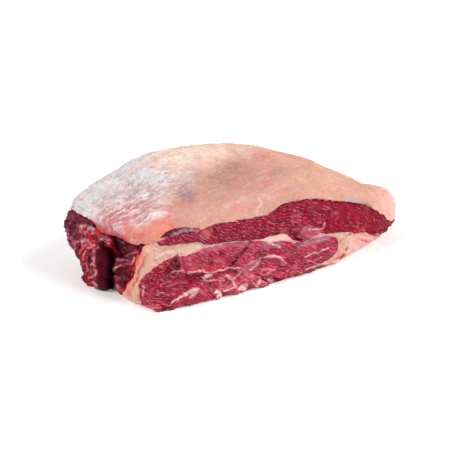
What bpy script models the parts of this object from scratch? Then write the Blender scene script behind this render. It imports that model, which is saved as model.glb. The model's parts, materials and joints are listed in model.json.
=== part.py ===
"""Raw beef rump, boned out and cut square at two sides, lying on its underside with the fat cap up.

The joint is five tissues that grew together. Each one is a closed solid that runs through the joint:
  fat_cap       the fat cover over the roof, the back and the narrow nose
  upper_muscle  the long strap of lean right under the cap
  seam_fat      the fat between the muscles, down the left corner and thick at the nose end
  lower_muscle  the thick lean that the joint rests on
  end_muscle    the folded lean at the left end

Sizes in the tables are in millimetres, times MM. The working frame has its origin on the table at the front
left corner: +X runs along the cut front, +Y goes back into the joint and +Z is up. The last step moves the
origin to the middle of the base.
"""

from collections import namedtuple

import bmesh
import bpy
import numpy as np
from mathutils import Vector, noise

MM = 0.001
GAP = 0.35 * MM  # clearance left between two tissues

# The joint's form, station by station from the cut left end to the nose.
#   edge   x, y, z of the fat cap's lower edge on the cut front
#   foot   x, y of the front where it stands on the table
#   back   x, y, z of the widest point of the back
#   crest  share of the way from edge to back where the roof is highest, and that height
Station = namedtuple("Station", "edge foot back crest")
STATIONS = [
    Station((-6, 3, 86), (-3, -7), (-61, 128, 74), (0.86, 98)),
    Station((30, 0, 98), (26, -12), (-6, 162, 70), (0.80, 114)),
    Station((70, 0, 93), (68, -13), (46, 184, 66), (0.78, 128)),
    Station((110, 0, 93), (110, -13), (98, 187, 62), (0.76, 132)),
    Station((150, 0, 94), (150, -12), (148, 181, 60), (0.72, 132)),
    Station((195, 0, 96), (195, -8), (197, 165, 56), (0.68, 127)),
    Station((240, 1, 86), (238, -3), (247, 138, 50), (0.64, 114)),
    Station((281, 4, 73), (278, 6), (291, 110, 44), (0.60, 94)),
    Station((314, 10, 53), (310, 17), (325, 86, 38), (0.56, 80)),
    Station((342, 20, 38), (337, 28), (352, 66, 33), (0.52, 68)),
    Station((359, 34, 28), (355, 38), (365, 52, 29), (0.50, 52)),
]
ALONG_CELLS, UP_CELLS = 41, 13  # facets along the joint and from the table to the roof
ROOF_CELLS, SHOULDER_CELLS = 14, 4  # facets across the roof, and round its steep back shoulder
SHOULDER_SHARE = 0.86  # where the back shoulder begins, as a share of the way across
LEAN_END = 9.6  # station where the lean ends inside the nose

LIP_OUT, LIP_THICK = 1.6 * MM, 3.4 * MM  # how far the cap's front edge stands out, and its thickness there
FAT_THICK = 5.2 * MM  # fat cap over the rest of the roof, the back and the nose
FAT_GROWS = 0.25  # share of the way across where the cap reaches that thickness
END_FAT = 9 * MM  # how much thicker the cap is over the front half of the left end
END_FAT_REACH = 0.7  # stations over which that thicker fat runs out
BACK_TUCK, TUCK_SHARE = 38 * MM, 0.27  # how far the back draws in to the table, at most and of the width
FOOT_ROUND = 3 * MM  # how far the walls draw in where they meet the table
HEM, HEM_WAVE = 24 * MM, 4 * MM  # height of the cap's hem on the back, and how far it wanders
END_HEM = 92 * MM  # the hem's height at the left end, where the lean shows right up to the roof
HEM_FALLS = (-50 * MM, 25 * MM)  # stretch of x over which the hem comes down from there
BARE_OUT = 7 * MM  # how far the lean swells out past the cap below that high hem
BARE_FADE = (9 * MM, 30 * MM)  # how far below the hem that swell starts and is whole
BEYOND = 30 * MM  # how far a cutter reaches past what it cuts

# Outlines of the tissues on the cut front, as x and z. They run back through the joint at a slant.
SEAM_SLANT = 0.2  # sideways drift per length of depth
UPPER_UNDERSIDE = [
    (3, 86), (8, 81), (19, 79), (44, 78), (57, 76), (65, 71), (73, 69), (99, 67), (127, 63), (149, 62),
    (168, 62), (176, 59), (184, 50), (196, 45), (206, 46), (212, 50), (221, 51), (230, 47), (250, 43.5),
    (269, 39.5), (276, 35), (294, 31.5), (302, 25), (315, 18.5), (331, 12), (385, 4),
]
LOWER_OUTLINE = [
    (-17, -15), (-14.5, 6), (-15.5, 20), (-16.2, 28), (-14.5, 34), (-9, 47), (0, 56), (9.5, 60), (19, 63.5),
    (28, 68), (33, 63.5), (48, 64.5), (69, 66.5), (89, 65.5), (109, 63), (127, 61), (139, 59), (148, 55.5),
    (169, 52), (179, 48.5), (188, 45), (198, 42.5), (213, 45), (224, 45), (234, 43.5), (243, 39.5),
    (248, 36.5), (250.5, 32), (251.5, 24.5), (249, 18), (243, 12.5), (234, 10.5), (218, 9), (202, 8),
    (195, 4), (190, -15),
]
END_BOUNDARY = [
    (-32, -15), (-30, 10), (-25.5, 20), (-20.5, 35), (-17, 50), (-14, 62), (-10, 76), (-6, 84), (-4, 92),
    (-4, 150),
]

# Relief of the two cut faces. A swell is (along, up, half length, half height, how far it stands out) and a
# furrow is (depth, half width, points). On the front "along" is x; on the left end it runs from the corner.
Furrow = namedtuple("Furrow", "depth wide points")
FRONT_SWELLS = [
    (75, 48, 50, 13, 3.0), (100, 14, 80, 12, 2.5), (205, 26, 34, 14, 2.0), (120, 79, 90, 8, 2.2),
    (208, 51, 15, 6, 3.5), (187, 52, 7, 4, -3.5), (22, 52, 9, 8, -4.5), (282, 24, 20, 11, 2.5),
    (45, 84, 22, 7, 1.6), (255, 64, 34, 11, 2.0), (24, 12, 22, 9, 1.6), (132, 22, 15, 7, 1.5),
]
FRONT_FURROWS = [
    Furrow(2.6, 4.5, [(20, 41), (33, 43), (50, 36), (75, 31), (110, 28), (135, 33), (150, 35), (177, 19)]),
    Furrow(2.0, 4.0, [(66, 69), (100, 64), (130, 60.5), (160, 56), (185, 48), (203, 42), (243, 42)]),
    Furrow(1.6, 4.0, [(100, 35), (113, 46), (128, 60)]),
    Furrow(1.8, 4.0, [(160, 2), (205, 3), (240, 8), (252, 22), (246, 38)]),
]
END_SWELLS = [
    (79, 30, 12, 26, 5.5), (53, 66, 10, 9, -9.0), (40, 56, 12, 5, 3.5), (49, 43, 14, 6, 4.5),
    (47, 28, 12, 9, 5.0), (38, 15, 8, 9, 3.0), (112, 42, 8, 16, 4.0), (93, 82, 5, 5, -5.0),
    (66, 64, 8, 7, 4.0), (104, 74, 15, 7, 3.5), (98, 57, 8, 5, 3.0), (22, 50, 7, 22, 2.5),
]
END_FURROWS = [
    Furrow(6.0, 4.0, [(75, 62), (66, 58), (63, 50), (65, 40), (67, 25), (68, 8)]),
    Furrow(3.5, 4.0, [(100, 66), (98, 45), (99, 25), (101, 10)]),
    Furrow(2.5, 3.5, [(34, 50), (62, 50)]),
    Furrow(2.5, 3.5, [(34, 36), (62, 35)]),
    Furrow(2.0, 3.0, [(16, 62), (25, 35), (34, 12)]),
]
FOOT_RELIEF = 8 * MM  # height above the table where the relief is whole
CAP_FOLDS = 1.3 * MM  # how far the fat cap's broad folds stand out
NOSE_ROUND = 6 * MM  # how far the middle of the nose stands out
FOLD_LONG, FOLD_SHORT, FOLD_TURN = 75 * MM, 24 * MM, 0.6  # their length, spacing and turn from +X

TISSUES = {  # base colour and roughness
    "fat_cap": ((0.86, 0.69, 0.58), 0.35),
    "upper_muscle": ((0.50, 0.045, 0.06), 0.3),
    "seam_fat": ((0.88, 0.77, 0.66), 0.35),
    "lower_muscle": ((0.58, 0.09, 0.10), 0.3),
    "end_muscle": ((0.20, 0.02, 0.035), 0.25),
}


def curve_through(knots, values, at):
    """Value of a smooth curve through the knots, with each slope taken from the knot's neighbours."""
    slopes = np.gradient(values, knots, axis=0)
    i = min(int(at), len(knots) - 2)
    t = at - knots[i]
    rise = values[i + 1] - values[i]
    bend = 3 * rise - 2 * slopes[i] - slopes[i + 1]
    twist = slopes[i] + slopes[i + 1] - 2 * rise
    return values[i] + t * slopes[i] + t**2 * bend + t**3 * twist


def eased(value, low, high):
    """0 below low and 1 above high, with a smooth rise between."""
    t = np.clip((value - low) / (high - low), 0, 1)
    return t * t * (3 - 2 * t)


def roof_shares():
    """Shares of the way across where the roof's facets meet, closer together on the back shoulder."""
    flat = np.linspace(0, SHOULDER_SHARE, ROOF_CELLS + 1)[:-1]
    turn = np.linspace(0, np.pi / 2, SHOULDER_CELLS + 1)
    return np.append(flat, SHOULDER_SHARE + (1 - SHOULDER_SHARE) * np.sin(turn))


def cap_thickness(station, share):
    thick = LIP_THICK + (FAT_THICK - LIP_THICK) * eased(share, 0, FAT_GROWS)
    over_front_half = eased(share, 0, 0.12) * (1 - eased(share, 0.5, 0.64))
    return thick + END_FAT * over_front_half * np.exp(-((station / END_FAT_REACH) ** 2))


def section(station, inset):
    """Lattice points of one cross-section, inset from the joint's outer form, as [across, up, xyz]."""
    knots = np.arange(len(STATIONS))
    table = np.array([np.concatenate([s.edge, s.foot, s.back, s.crest]) for s in STATIONS], float)
    row = curve_through(knots, table, station)
    edge, foot, back, crest_share = row[:3] * MM, row[3:5] * MM, row[5:8] * MM, row[8]
    crest = row[9] * MM
    width = np.linalg.norm(back[:2] - edge[:2])
    across = (back[:2] - edge[:2]) / width

    share = roof_shares()
    rise = np.sin(np.clip(share / crest_share, 0, 1) * np.pi / 2)
    fall = np.clip((share - crest_share) / (1 - crest_share), 0, 1)
    lip_top = edge[2] + LIP_THICK
    height = np.where(
        share < crest_share,
        lip_top + (crest - lip_top) * rise,
        back[2] + (crest - back[2]) * np.sqrt(1 - fall**2.3),
    )
    distance = share * width
    slope_out, slope_up = np.gradient(distance), np.gradient(height)
    slope_out[-1] = 0
    slope_out[0], slope_up[0] = 1, 0
    steepness = np.hypot(slope_out, slope_up)
    depth = np.minimum(inset(station, share), 0.3 * width)
    distance = distance + depth * slope_up / steepness
    height = height - depth * slope_out / steepness
    top = edge[:2] + distance[:, None] * across

    tuck = min(BACK_TUCK, TUCK_SHARE * width)
    heel = back[:2] - across * (tuck + depth[-1])
    base = foot + (heel - foot) * (distance / distance[-1])[:, None]
    up = np.linspace(0, 1, UP_CELLS + 1)
    bow = eased(share, 0.5, 1)[:, None]
    climb = up * (1 - bow / 2) + np.sin(up * np.pi / 2) * bow / 2
    points = np.empty((len(share), len(up), 3))
    points[..., :2] = base[:, None] + (top - base)[:, None] * climb[..., None]
    points[..., 2] = height[:, None] * up
    return points


def lattice(inset, last_station):
    """The joint's form as lattice points [along, across, up, xyz], inset and ending at a station."""
    stations = np.linspace(0, last_station, ALONG_CELLS + 1)
    points = np.array([section(at, inset) for at in stations])
    middle = points[:, :, 0].mean(axis=1, keepdims=True)
    inward = middle - points[:, :, 0]
    reach = np.linalg.norm(inward, axis=-1, keepdims=True)
    points[:, :, 0] += inward * np.minimum(FOOT_ROUND / np.maximum(reach, FOOT_ROUND), 0.3)
    points[0, :, 0, 0] += FOOT_ROUND
    points[-1, :, 0, 0] -= FOOT_ROUND
    return points


def reaching_past(points):
    """The lattice as a cutter: clear of the lean at the nose, and a layer past its left end, front and base."""
    points[-1, :, :, 0] += GAP
    outward = points[:1] - [BEYOND, BEYOND / 2, 0]
    points = np.concatenate([outward, points])
    across = points[:, -1:, -1:] - points[:, :1, -1:]
    across[..., 2] = 0
    across = across / np.linalg.norm(across, axis=-1, keepdims=True)
    points = np.concatenate([points[:, :1] - BEYOND * across, points], axis=1)
    return np.concatenate([points[:, :, :1] - [0, 0, BEYOND], points], axis=2)


def relief(along, up, swells, furrows):
    """How far a cut face stands out at each place, in metres."""
    total = np.zeros_like(along)
    for centre_along, centre_up, long, high, out in swells:
        away = ((along / MM - centre_along) / long) ** 2 + ((up / MM - centre_up) / high) ** 2
        total += out * np.exp(-away)
    place = np.stack([along, up], axis=-1) / MM
    for furrow in furrows:
        nearest = np.full(along.shape, np.inf)
        points = np.array(furrow.points, float)
        for start, end in zip(points[:-1], points[1:]):
            run = end - start
            t = np.clip((place - start) @ run / (run @ run), 0, 1)
            nearest = np.minimum(nearest, np.linalg.norm(place - start - t[..., None] * run, axis=-1))
        total -= furrow.depth * np.exp(-((nearest / furrow.wide) ** 2))
    return total * MM


def hem_height(x):
    """Height of the cap's hem on the back."""
    wave = HEM_WAVE * np.sin(x / (19 * MM)) * np.sin(x / (47 * MM) + 1)
    return HEM + wave + (END_HEM - HEM) * (1 - eased(x, *HEM_FALLS))


def with_bare_back(points):
    """The lean with its back swollen out to the joint's outer form where the cap doesn't cover it."""
    points = points.copy()
    across = points[:, -1] - points[:, 0]
    across = across[..., :2] / np.linalg.norm(across[..., :2], axis=-1, keepdims=True)
    back = points[:, -1]
    uncovered = hem_height(back[..., 0]) - back[..., 2]
    out = BARE_OUT * eased(uncovered, *BARE_FADE) * eased(HEM_FALLS[1] - back[..., 0], 0, 60 * MM)
    points[:, -1, :, :2] += out[..., None] * across
    return points


def with_cut_faces(points):
    """The lean with the relief of its two cut faces, which fades out at the table, the roof and the back."""
    points = points.copy()
    off_edges = np.ones(points.shape[1:3])
    off_edges[:, -1] = 0
    off_edges[-1] = 0
    front = points[:, 0]
    front_out = relief(front[..., 0], front[..., 2], FRONT_SWELLS, FRONT_FURROWS) * off_edges[0]
    end = points[0]
    run = end[-1, -1, :2] - end[0, -1, :2]
    run = run / np.linalg.norm(run)
    end_out = relief(end[..., :2] @ run, end[..., 2], END_SWELLS, END_FURROWS) * off_edges
    points[:, 0, :, 1] -= front_out * eased(front[..., 2], 0, FOOT_RELIEF)
    points[0, :, :, 0] -= end_out * eased(end[..., 2], 0, FOOT_RELIEF) * run[1]
    points[0, :, :, 1] += end_out * eased(end[..., 2], 0, FOOT_RELIEF) * run[0]
    return points


def with_folds(points):
    """The outer form with the fat cap's broad folds on its roof, and a rounded nose."""
    points = points.copy()
    turn = np.array([[np.cos(FOLD_TURN), np.sin(FOLD_TURN)], [-np.sin(FOLD_TURN), np.cos(FOLD_TURN)]])
    roof = points[:, :, -1]
    for i, j in np.ndindex(roof.shape[:2]):
        along, over = turn @ roof[i, j, :2]
        roof[i, j, 2] += CAP_FOLDS * noise.noise(Vector((along / FOLD_LONG, over / FOLD_SHORT, 0)))
    across = np.linspace(-1, 1, roof.shape[1])[:, None]
    up = np.linspace(-1, 1, UP_CELLS + 1)
    points[-1, :, :, 0] += NOSE_ROUND * (1 - across**2) * (1 - up**2)
    return points


def new_object(name, points, faces, collection):
    mesh = bpy.data.meshes.new(name)
    mesh.from_pydata([tuple(p) for p in points], [], faces)
    shape = bmesh.new()
    shape.from_mesh(mesh)
    bmesh.ops.recalc_face_normals(shape, faces=shape.faces)
    shape.to_mesh(mesh)
    shape.free()
    made = bpy.data.objects.new(name, mesh)
    collection.objects.link(made)
    return made


def shell(name, points, collection):
    """A closed solid from the outside of a lattice of points."""
    cells = np.array(points.shape[:3]) - 1
    number = {}
    faces = []
    for axis in range(3):
        a, b = [k for k in range(3) if k != axis]
        for end in (0, cells[axis]):
            for i in range(cells[a]):
                for j in range(cells[b]):
                    face = []
                    for di, dj in ((0, 0), (1, 0), (1, 1), (0, 1)):
                        step = [0, 0, 0]
                        step[axis], step[a], step[b] = int(end), i + di, j + dj
                        face.append(number.setdefault(tuple(step), len(number)))
                    faces.append(face)
    return new_object(name, [points[step] for step in number], faces, collection)


def outline_offset(outline, out):
    """A closed outline moved out by a distance, corner by corner."""
    here = np.array(outline, float) * MM
    before, after = here - np.roll(here, 1, axis=0), np.roll(here, -1, axis=0) - here
    area = np.sum(here[:, 0] * np.roll(here[:, 1], -1) - np.roll(here[:, 0], -1) * here[:, 1])
    side = []
    for run in (before, after):
        run = run / np.linalg.norm(run, axis=1, keepdims=True)
        side.append(np.sign(area) * np.stack([run[:, 1], -run[:, 0]], axis=1))
    corner = side[0] + side[1]
    return here + out * 2 * corner / np.sum(corner * corner, axis=1, keepdims=True)


def seam_cutter(name, outline, out, collection):
    """A prism over an outline of the cut front, swept back through the joint along the slant."""
    ring = outline_offset(outline, out)
    points = []
    for y in (-2 * BEYOND, 8 * BEYOND):
        points += [(x + SEAM_SLANT * y, y, z) for x, z in ring]
    count = len(ring)
    faces = [list(range(count)), list(range(count, 2 * count))]
    faces += [(i, (i + 1) % count, count + (i + 1) % count, count + i) for i in range(count)]
    return new_object(name, points, faces, collection)


def hem_cutter(collection):
    """A block under the joint whose top wanders about the height of the cap's hem."""
    x, y = np.meshgrid(np.linspace(-150, 450, 41) * MM, np.linspace(-150, 300, 3) * MM, indexing="ij")
    levels = [np.full_like(x, -BEYOND), hem_height(x)]
    return shell("hem_cutter", np.stack([np.stack([x, y, z], axis=-1) for z in levels], axis=2), collection)


def cut(piece, operation, cutter):
    """A Boolean by the MANIFOLD solver, because EXACT empties a piece that is cut along its whole length."""
    boolean = piece.modifiers.new(operation.title() + " " + cutter.name, "BOOLEAN")
    boolean.operation = operation
    boolean.object = cutter
    boolean.solver = "MANIFOLD"


def tissue_material(name):
    colour, roughness = TISSUES[name]
    material = bpy.data.materials.new(name)
    material.use_nodes = True
    surface = material.node_tree.nodes["Principled BSDF"]
    surface.inputs["Base Color"].default_value = (*colour, 1)
    surface.inputs["Roughness"].default_value = roughness
    return material


def centre_on_base(pieces, everything):
    """Moves the origin to the middle of the base of all the pieces."""
    bpy.context.view_layer.update()
    graph = bpy.context.evaluated_depsgraph_get()
    corners = []
    for piece in pieces:
        mesh = piece.evaluated_get(graph).data
        places = np.empty(len(mesh.vertices) * 3)
        mesh.vertices.foreach_get("co", places)
        places = places.reshape(-1, 3)
        corners += [places.min(axis=0), places.max(axis=0)]
    low, high = np.min(corners, axis=0), np.max(corners, axis=0)
    middle = (low + high) / 2
    for obj in everything:
        obj.location = (-middle[0], -middle[1], -low[2])


def main():
    for obj in list(bpy.data.objects):
        bpy.data.objects.remove(obj)
    rump = bpy.data.collections.new("raw_beef_rump")
    cutters = bpy.data.collections.new("cutters")
    for collection in (rump, cutters):
        bpy.context.scene.collection.children.link(collection)

    def under_cap(clearance):
        return lambda station, share: cap_thickness(station, share) + clearance

    outer = lattice(lambda station, share: 0 * share, len(STATIONS) - 1)
    outer[:, 0, :, 1] -= LIP_OUT
    outer[0, :, :, 0] -= LIP_OUT
    outer = with_folds(outer)
    lean = with_bare_back(with_cut_faces(lattice(under_cap(GAP / 2), LEAN_END)))
    lean_cutter = shell("lean_cutter", reaching_past(lattice(under_cap(-GAP / 2), LEAN_END)), cutters)

    upper = UPPER_UNDERSIDE + [(385, 190), (3, 190)]
    ending = END_BOUNDARY + [(-120, 150), (-120, -15)]
    outlines = {"upper_muscle": upper, "lower_muscle": LOWER_OUTLINE, "end_muscle": ending}

    cap = shell("fat_cap", outer, rump)
    cut(cap, "DIFFERENCE", lean_cutter)
    cut(cap, "DIFFERENCE", hem_cutter(cutters))
    seam = shell("seam_fat", lean, rump)
    pieces = [cap, seam]
    for name, outline in outlines.items():
        muscle = shell(name, lean, rump)
        cut(muscle, "INTERSECT", seam_cutter(name + "_cutter", outline, -GAP / 2, cutters))
        cut(seam, "DIFFERENCE", seam_cutter(name + "_clearance", outline, GAP / 2, cutters))
        pieces.append(muscle)
    for piece in pieces:
        piece.data.materials.append(tissue_material(piece.name))
    for cutter in cutters.objects:
        cutter.display_type = "WIRE"
        cutter.hide_render = True
    cutters.hide_render = True
    centre_on_base(pieces, list(rump.objects) + list(cutters.objects))


main()
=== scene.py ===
# %% [markdown]
# # A raw beef rump
# A rump is one joint of several tissues: a fat cap over the roof, a long strap of lean under it, a thick
# lean below, the fat between them, and a folded end where the joint was cut from the leg. It could be
# sculpted as one lump, but here each tissue stays a piece of its own, so that each can be handled and
# finished by itself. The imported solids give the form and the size. This script adds what the eye sees: torn
# fibres, folds, marbling, membranes and wet gloss.

# %% Load the solids
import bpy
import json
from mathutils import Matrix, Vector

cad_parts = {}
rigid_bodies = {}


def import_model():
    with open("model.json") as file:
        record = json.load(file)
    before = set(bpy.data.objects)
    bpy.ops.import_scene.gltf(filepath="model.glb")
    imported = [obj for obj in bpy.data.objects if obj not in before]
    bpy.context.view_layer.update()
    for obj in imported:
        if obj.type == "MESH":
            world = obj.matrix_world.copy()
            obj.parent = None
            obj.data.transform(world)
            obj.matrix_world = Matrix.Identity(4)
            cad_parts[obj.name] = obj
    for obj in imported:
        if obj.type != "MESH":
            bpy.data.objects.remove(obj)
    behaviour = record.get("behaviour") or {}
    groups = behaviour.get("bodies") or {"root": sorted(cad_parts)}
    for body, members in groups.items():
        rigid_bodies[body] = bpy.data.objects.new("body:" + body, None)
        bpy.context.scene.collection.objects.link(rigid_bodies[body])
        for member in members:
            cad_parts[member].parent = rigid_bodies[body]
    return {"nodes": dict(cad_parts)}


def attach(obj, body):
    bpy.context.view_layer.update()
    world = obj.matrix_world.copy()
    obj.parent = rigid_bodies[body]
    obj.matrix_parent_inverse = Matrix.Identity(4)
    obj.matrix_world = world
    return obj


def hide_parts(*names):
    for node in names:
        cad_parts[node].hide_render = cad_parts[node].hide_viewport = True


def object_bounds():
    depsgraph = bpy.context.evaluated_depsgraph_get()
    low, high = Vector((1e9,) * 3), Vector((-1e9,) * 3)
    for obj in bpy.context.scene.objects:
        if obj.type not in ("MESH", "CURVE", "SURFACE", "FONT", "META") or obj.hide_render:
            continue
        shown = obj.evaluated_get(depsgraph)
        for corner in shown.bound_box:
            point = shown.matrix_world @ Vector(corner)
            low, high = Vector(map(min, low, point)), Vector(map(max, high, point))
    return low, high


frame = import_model()

CAD_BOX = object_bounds()
print("solids:", sorted(frame["nodes"]))

# %% [markdown]
# ## Where things are
# Every place below is in millimetres from the joint's front left corner on the table: x along the cut front,
# y into the joint, z up. A real joint is trimmed by knife, so the two cut faces are the natural places to
# measure from. One helper turns the frame's metres into these millimetres.

# %% Units and the corner
import json
import math
from itertools import product

import bmesh
import bpy
import numpy as np
from mathutils import Matrix
from mathutils.bvhtree import BVHTree

MM = 0.001
CORNER_INSET = (60.4, 13.8, 0)  # from the box's lowest corner to the joint's front left corner
CORNER = np.array(CAD_BOX[0]) + np.array(CORNER_INSET) * MM


def in_mm(points):
    return (np.asarray(points) - CORNER) / MM


def in_metres(points):
    return np.asarray(points) * MM + CORNER


print("front left corner at", CORNER.round(4), "m")

# %% [markdown]
# ## The camera
# The joint is seen from its front left corner, from a little above. The camera is set by how far round and
# how high it stands, how far off it is, and where the corner then falls from the middle of the picture.

# %% Camera
VIEW_ROUND, VIEW_UP = math.radians(28), math.radians(25)
VIEW_FAR = 1440  # mm from the corner, measured along the view
CORNER_LEFT, CORNER_BELOW = 81.2, 98.6  # mm from the middle of the picture, at the corner's distance
LENS_MM, SENSOR_MM = 99.3, 36

forward = np.array([
    math.sin(VIEW_ROUND) * math.cos(VIEW_UP),
    math.cos(VIEW_ROUND) * math.cos(VIEW_UP),
    -math.sin(VIEW_UP),
])
right = np.array([math.cos(VIEW_ROUND), -math.sin(VIEW_ROUND), 0])
upward = np.cross(right, forward)
EYE = right * CORNER_LEFT + upward * CORNER_BELOW - forward * VIEW_FAR

camera = bpy.data.objects.new("Camera", bpy.data.cameras.new("Camera"))
camera.data.lens, camera.data.sensor_width = LENS_MM, SENSOR_MM
turned = Matrix(np.column_stack([right, upward, -forward]).tolist()).to_4x4()
camera.matrix_world = Matrix.Translation(in_metres(EYE).tolist()) @ turned
bpy.context.scene.collection.objects.link(camera)
bpy.context.scene.camera = camera
print("camera at", EYE.round(), "mm from the corner")

# %% [markdown]
# ## Two cut faces, two maps
# Muscles, seams and flecks of fat are easiest to place on a flat map of each cut face: x and z on the front,
# and the distance from the corner and z on the left end. The real faces bulge and fold, so a map place is
# carried onto the meat along a line of sight. What lies on the map then stays where it looks right, however
# deep the relief is.

# %% Maps of the cut faces
END_RUN = np.array([-0.431, 0.902, 0])  # the left end runs this way from the corner
FRONT_FACING, END_FACING = np.array([0, -1, 0]), np.array([-0.902, -0.431, 0])


def carried(points, run, facing):
    """Map place of each point: how far along `run`, and how high."""
    sight = points - EYE
    place = EYE - sight * (EYE @ facing / (sight @ facing))[:, None]
    return np.stack([place @ run, place[:, 2]], axis=1)


def on_front(points):
    return carried(points, np.array([1, 0, 0]), FRONT_FACING)


def on_end(points):
    return carried(points, END_RUN, END_FACING)


print("the corner maps to", on_front(np.zeros((1, 3)))[0], on_end(np.zeros((1, 3)))[0])

# %% [markdown]
# ## Clouds
# Nothing on meat is even, so lumps, mottling and torn edges all need a smooth random value. Blender's noise
# textures give one, but only inside a material or a modifier. This small cloud gives it to plain arrays of
# places, the same each time, so that the form and the tint of a place can share it.

# %% Clouds
PRIMES = (374761393, 668265263, 2147483647)


def eased(value, low, high):
    t = np.clip((value - low) / (high - low), 0, 1)
    return t * t * (3 - 2 * t)


def dice(cells, seed):
    """A fixed random number from 0 to 1 for each whole-number cell."""
    stirred = (cells * np.array(PRIMES[: cells.shape[-1]])).sum(axis=-1) + seed * 1442695041
    stirred = stirred & 0xFFFFFFFF
    stirred = ((stirred ^ (stirred >> 13)) * 1274126177) & 0xFFFFFFFF
    return ((stirred ^ (stirred >> 16)) & 0xFFFF) / 0xFFFF


def cloud(places, size, seed=0):
    """A smooth random value from -1 to 1 at each place. Its lumps are `size` across."""
    scaled = places / size
    cell = np.floor(scaled).astype(np.int64)
    part = eased(scaled - cell, 0, 1)
    total = np.zeros(len(places))
    for step in product((0, 1), repeat=places.shape[1]):
        share = np.prod(np.where(step, part, 1 - part), axis=1)
        total += share * dice(cell + np.array(step), seed)
    return total * 2 - 1


print("a cloud has mean", cloud(np.random.default_rng(1).random((2000, 2)) * 100, 5).mean().round(3))

# %% [markdown]
# ## Brushes
# Meat has no straight edges, so every shape is laid with three soft brushes: a stroke along a line, a patch
# inside an outline, and a spot. Each gives a strength from 0 to 1 for every point, and a cloud roughens it.
# The same brushes push the surface in and out and tint it, so colour and form agree.

# %% Brushes
def off_line(places, line):
    """Distance of each place from a line of straight runs."""
    line = np.array(line, float)
    nearest = np.full(len(places), np.inf)
    for start, end in zip(line[:-1], line[1:]):
        run = end - start
        share = np.clip((places - start) @ run / (run @ run), 0, 1)
        nearest = np.minimum(nearest, np.linalg.norm(places - start - share[:, None] * run, axis=1))
    return nearest


def stroke(places, width, line):
    return np.exp(-((off_line(places, line) / width) ** 2))


def within(places, outline):
    """True for places inside a closed outline."""
    inside = np.zeros(len(places), bool)
    x, z = places.T
    for (x1, z1), (x2, z2) in zip(outline, outline[1:] + outline[:1]):
        if z1 != z2:
            inside ^= ((z1 > z) != (z2 > z)) & (x < (x2 - x1) * (z - z1) / (z2 - z1) + x1)
    return inside


def patch(places, soft, outline):
    """1 well inside an outline and 0 well outside, over a soft edge that many millimetres wide."""
    edge = off_line(places, outline + outline[:1])
    return eased(np.where(within(places, outline), edge, -edge), -soft / 2, soft / 2)


def spot(places, radii, middle):
    return np.exp(-(((places - np.array(middle)) / np.array(radii)) ** 2).sum(axis=1))


def ragged(places, by=1.2, size=5.0, seed=3):
    """The places, wandering a little, so that brush edges turn out torn."""
    return places + by * np.stack([cloud(places, size, seed), cloud(places, size, seed + 1)], axis=1)


print("a stroke at its own width:", stroke(np.array([[5.0, 2.0]]), 2.0, [(0, 0), (10, 0)]).round(3))

# %% [markdown]
# ## Points of a mesh
# A brush works on all points of a surface at once, so a mesh is read into one array and written back from
# one. Going through the points one by one, or sculpting them with the mouse, would be slower and could not
# be repeated.

# %% Points of a mesh
def points_of(obj):
    points = np.empty(len(obj.data.vertices) * 3, np.float32)
    obj.data.vertices.foreach_get("co", points)
    return in_mm(points.reshape(-1, 3).astype(float))


def normals_of(obj):
    normals = np.empty(len(obj.data.vertices) * 3, np.float32)
    obj.data.vertices.foreach_get("normal", normals)
    return normals.reshape(-1, 3).astype(float)


def move_to(obj, points):
    obj.data.vertices.foreach_set("co", in_metres(points).astype(np.float32).ravel())
    obj.data.update()


print("points of the cap's solid:", len(points_of(frame["nodes"]["fat_cap"])))

# %% [markdown]
# ## From facets to flesh
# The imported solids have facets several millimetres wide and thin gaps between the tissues. A voxel remesh
# over all four leans closes the gaps, and a few rounds of smoothing melt the facets away. Sculpting on top
# needs small faces, but only where the knife opened the meat, so just the two cut faces are divided further.

# %% Melt the lean solids into one body
LEAN_NODES = ["upper_muscle", "seam_fat", "lower_muscle", "end_muscle"]
LEAN_PITCH, LEAN_ROUNDS = 2.1 * MM, 11
CUT_SPLITS = 2  # cuts across each face there


def settled(obj):
    """Applies the object's modifiers."""
    mesh = bpy.data.meshes.new_from_object(obj.evaluated_get(bpy.context.evaluated_depsgraph_get()))
    obj.modifiers.clear()
    obj.data = mesh
    return obj


def melted(name, nodes, pitch, rounds):
    """One closed skin round these nodes, with the facets smoothed away."""
    shape = bmesh.new()
    for node in nodes:
        shape.from_mesh(frame["nodes"][node].data)
    bmesh.ops.remove_doubles(shape, verts=shape.verts, dist=0.01 * MM)
    mesh = bpy.data.meshes.new(name)
    shape.to_mesh(mesh)
    shape.free()
    skin = bpy.data.objects.new(name, mesh)
    bpy.context.scene.collection.objects.link(skin)
    remesh = skin.modifiers.new("Melt", "REMESH")
    remesh.mode, remesh.voxel_size = "VOXEL", pitch
    smooth = skin.modifiers.new("Smooth", "SMOOTH")
    smooth.factor, smooth.iterations = 0.5, rounds
    return settled(skin)


def divided(obj, chosen, splits):
    """Divides the faces for which chosen(middles, normals) is true."""
    shape = bmesh.new()
    shape.from_mesh(obj.data)
    middles = in_mm([face.calc_center_median() for face in shape.faces])
    picked = chosen(middles, np.array([face.normal for face in shape.faces]))
    edges = {edge for face, wanted in zip(shape.faces, picked) if wanted for edge in face.edges}
    bmesh.ops.subdivide_edges(shape, edges=list(edges), cuts=splits, use_grid_fill=True)
    shape.to_mesh(obj.data)
    shape.free()
    return obj


def on_a_cut(middles, normals):
    return (normals @ FRONT_FACING > 0.3) | (normals @ END_FACING > 0.35)


lean = melted("lean", LEAN_NODES, LEAN_PITCH, LEAN_ROUNDS)
divided(lean, on_a_cut, CUT_SPLITS)
print("lean body:", len(lean.data.vertices), "points")

# %% [markdown]
# ## Relief of the front
# The knife leaves bundles of fibre, torn seams, pockets where tissue was pulled away, and fat that stands a
# little proud. Each mark is a brush with a height in millimetres. The grain itself is a cloud stretched
# along the fibres, whose slope steepens towards the nose.

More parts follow.
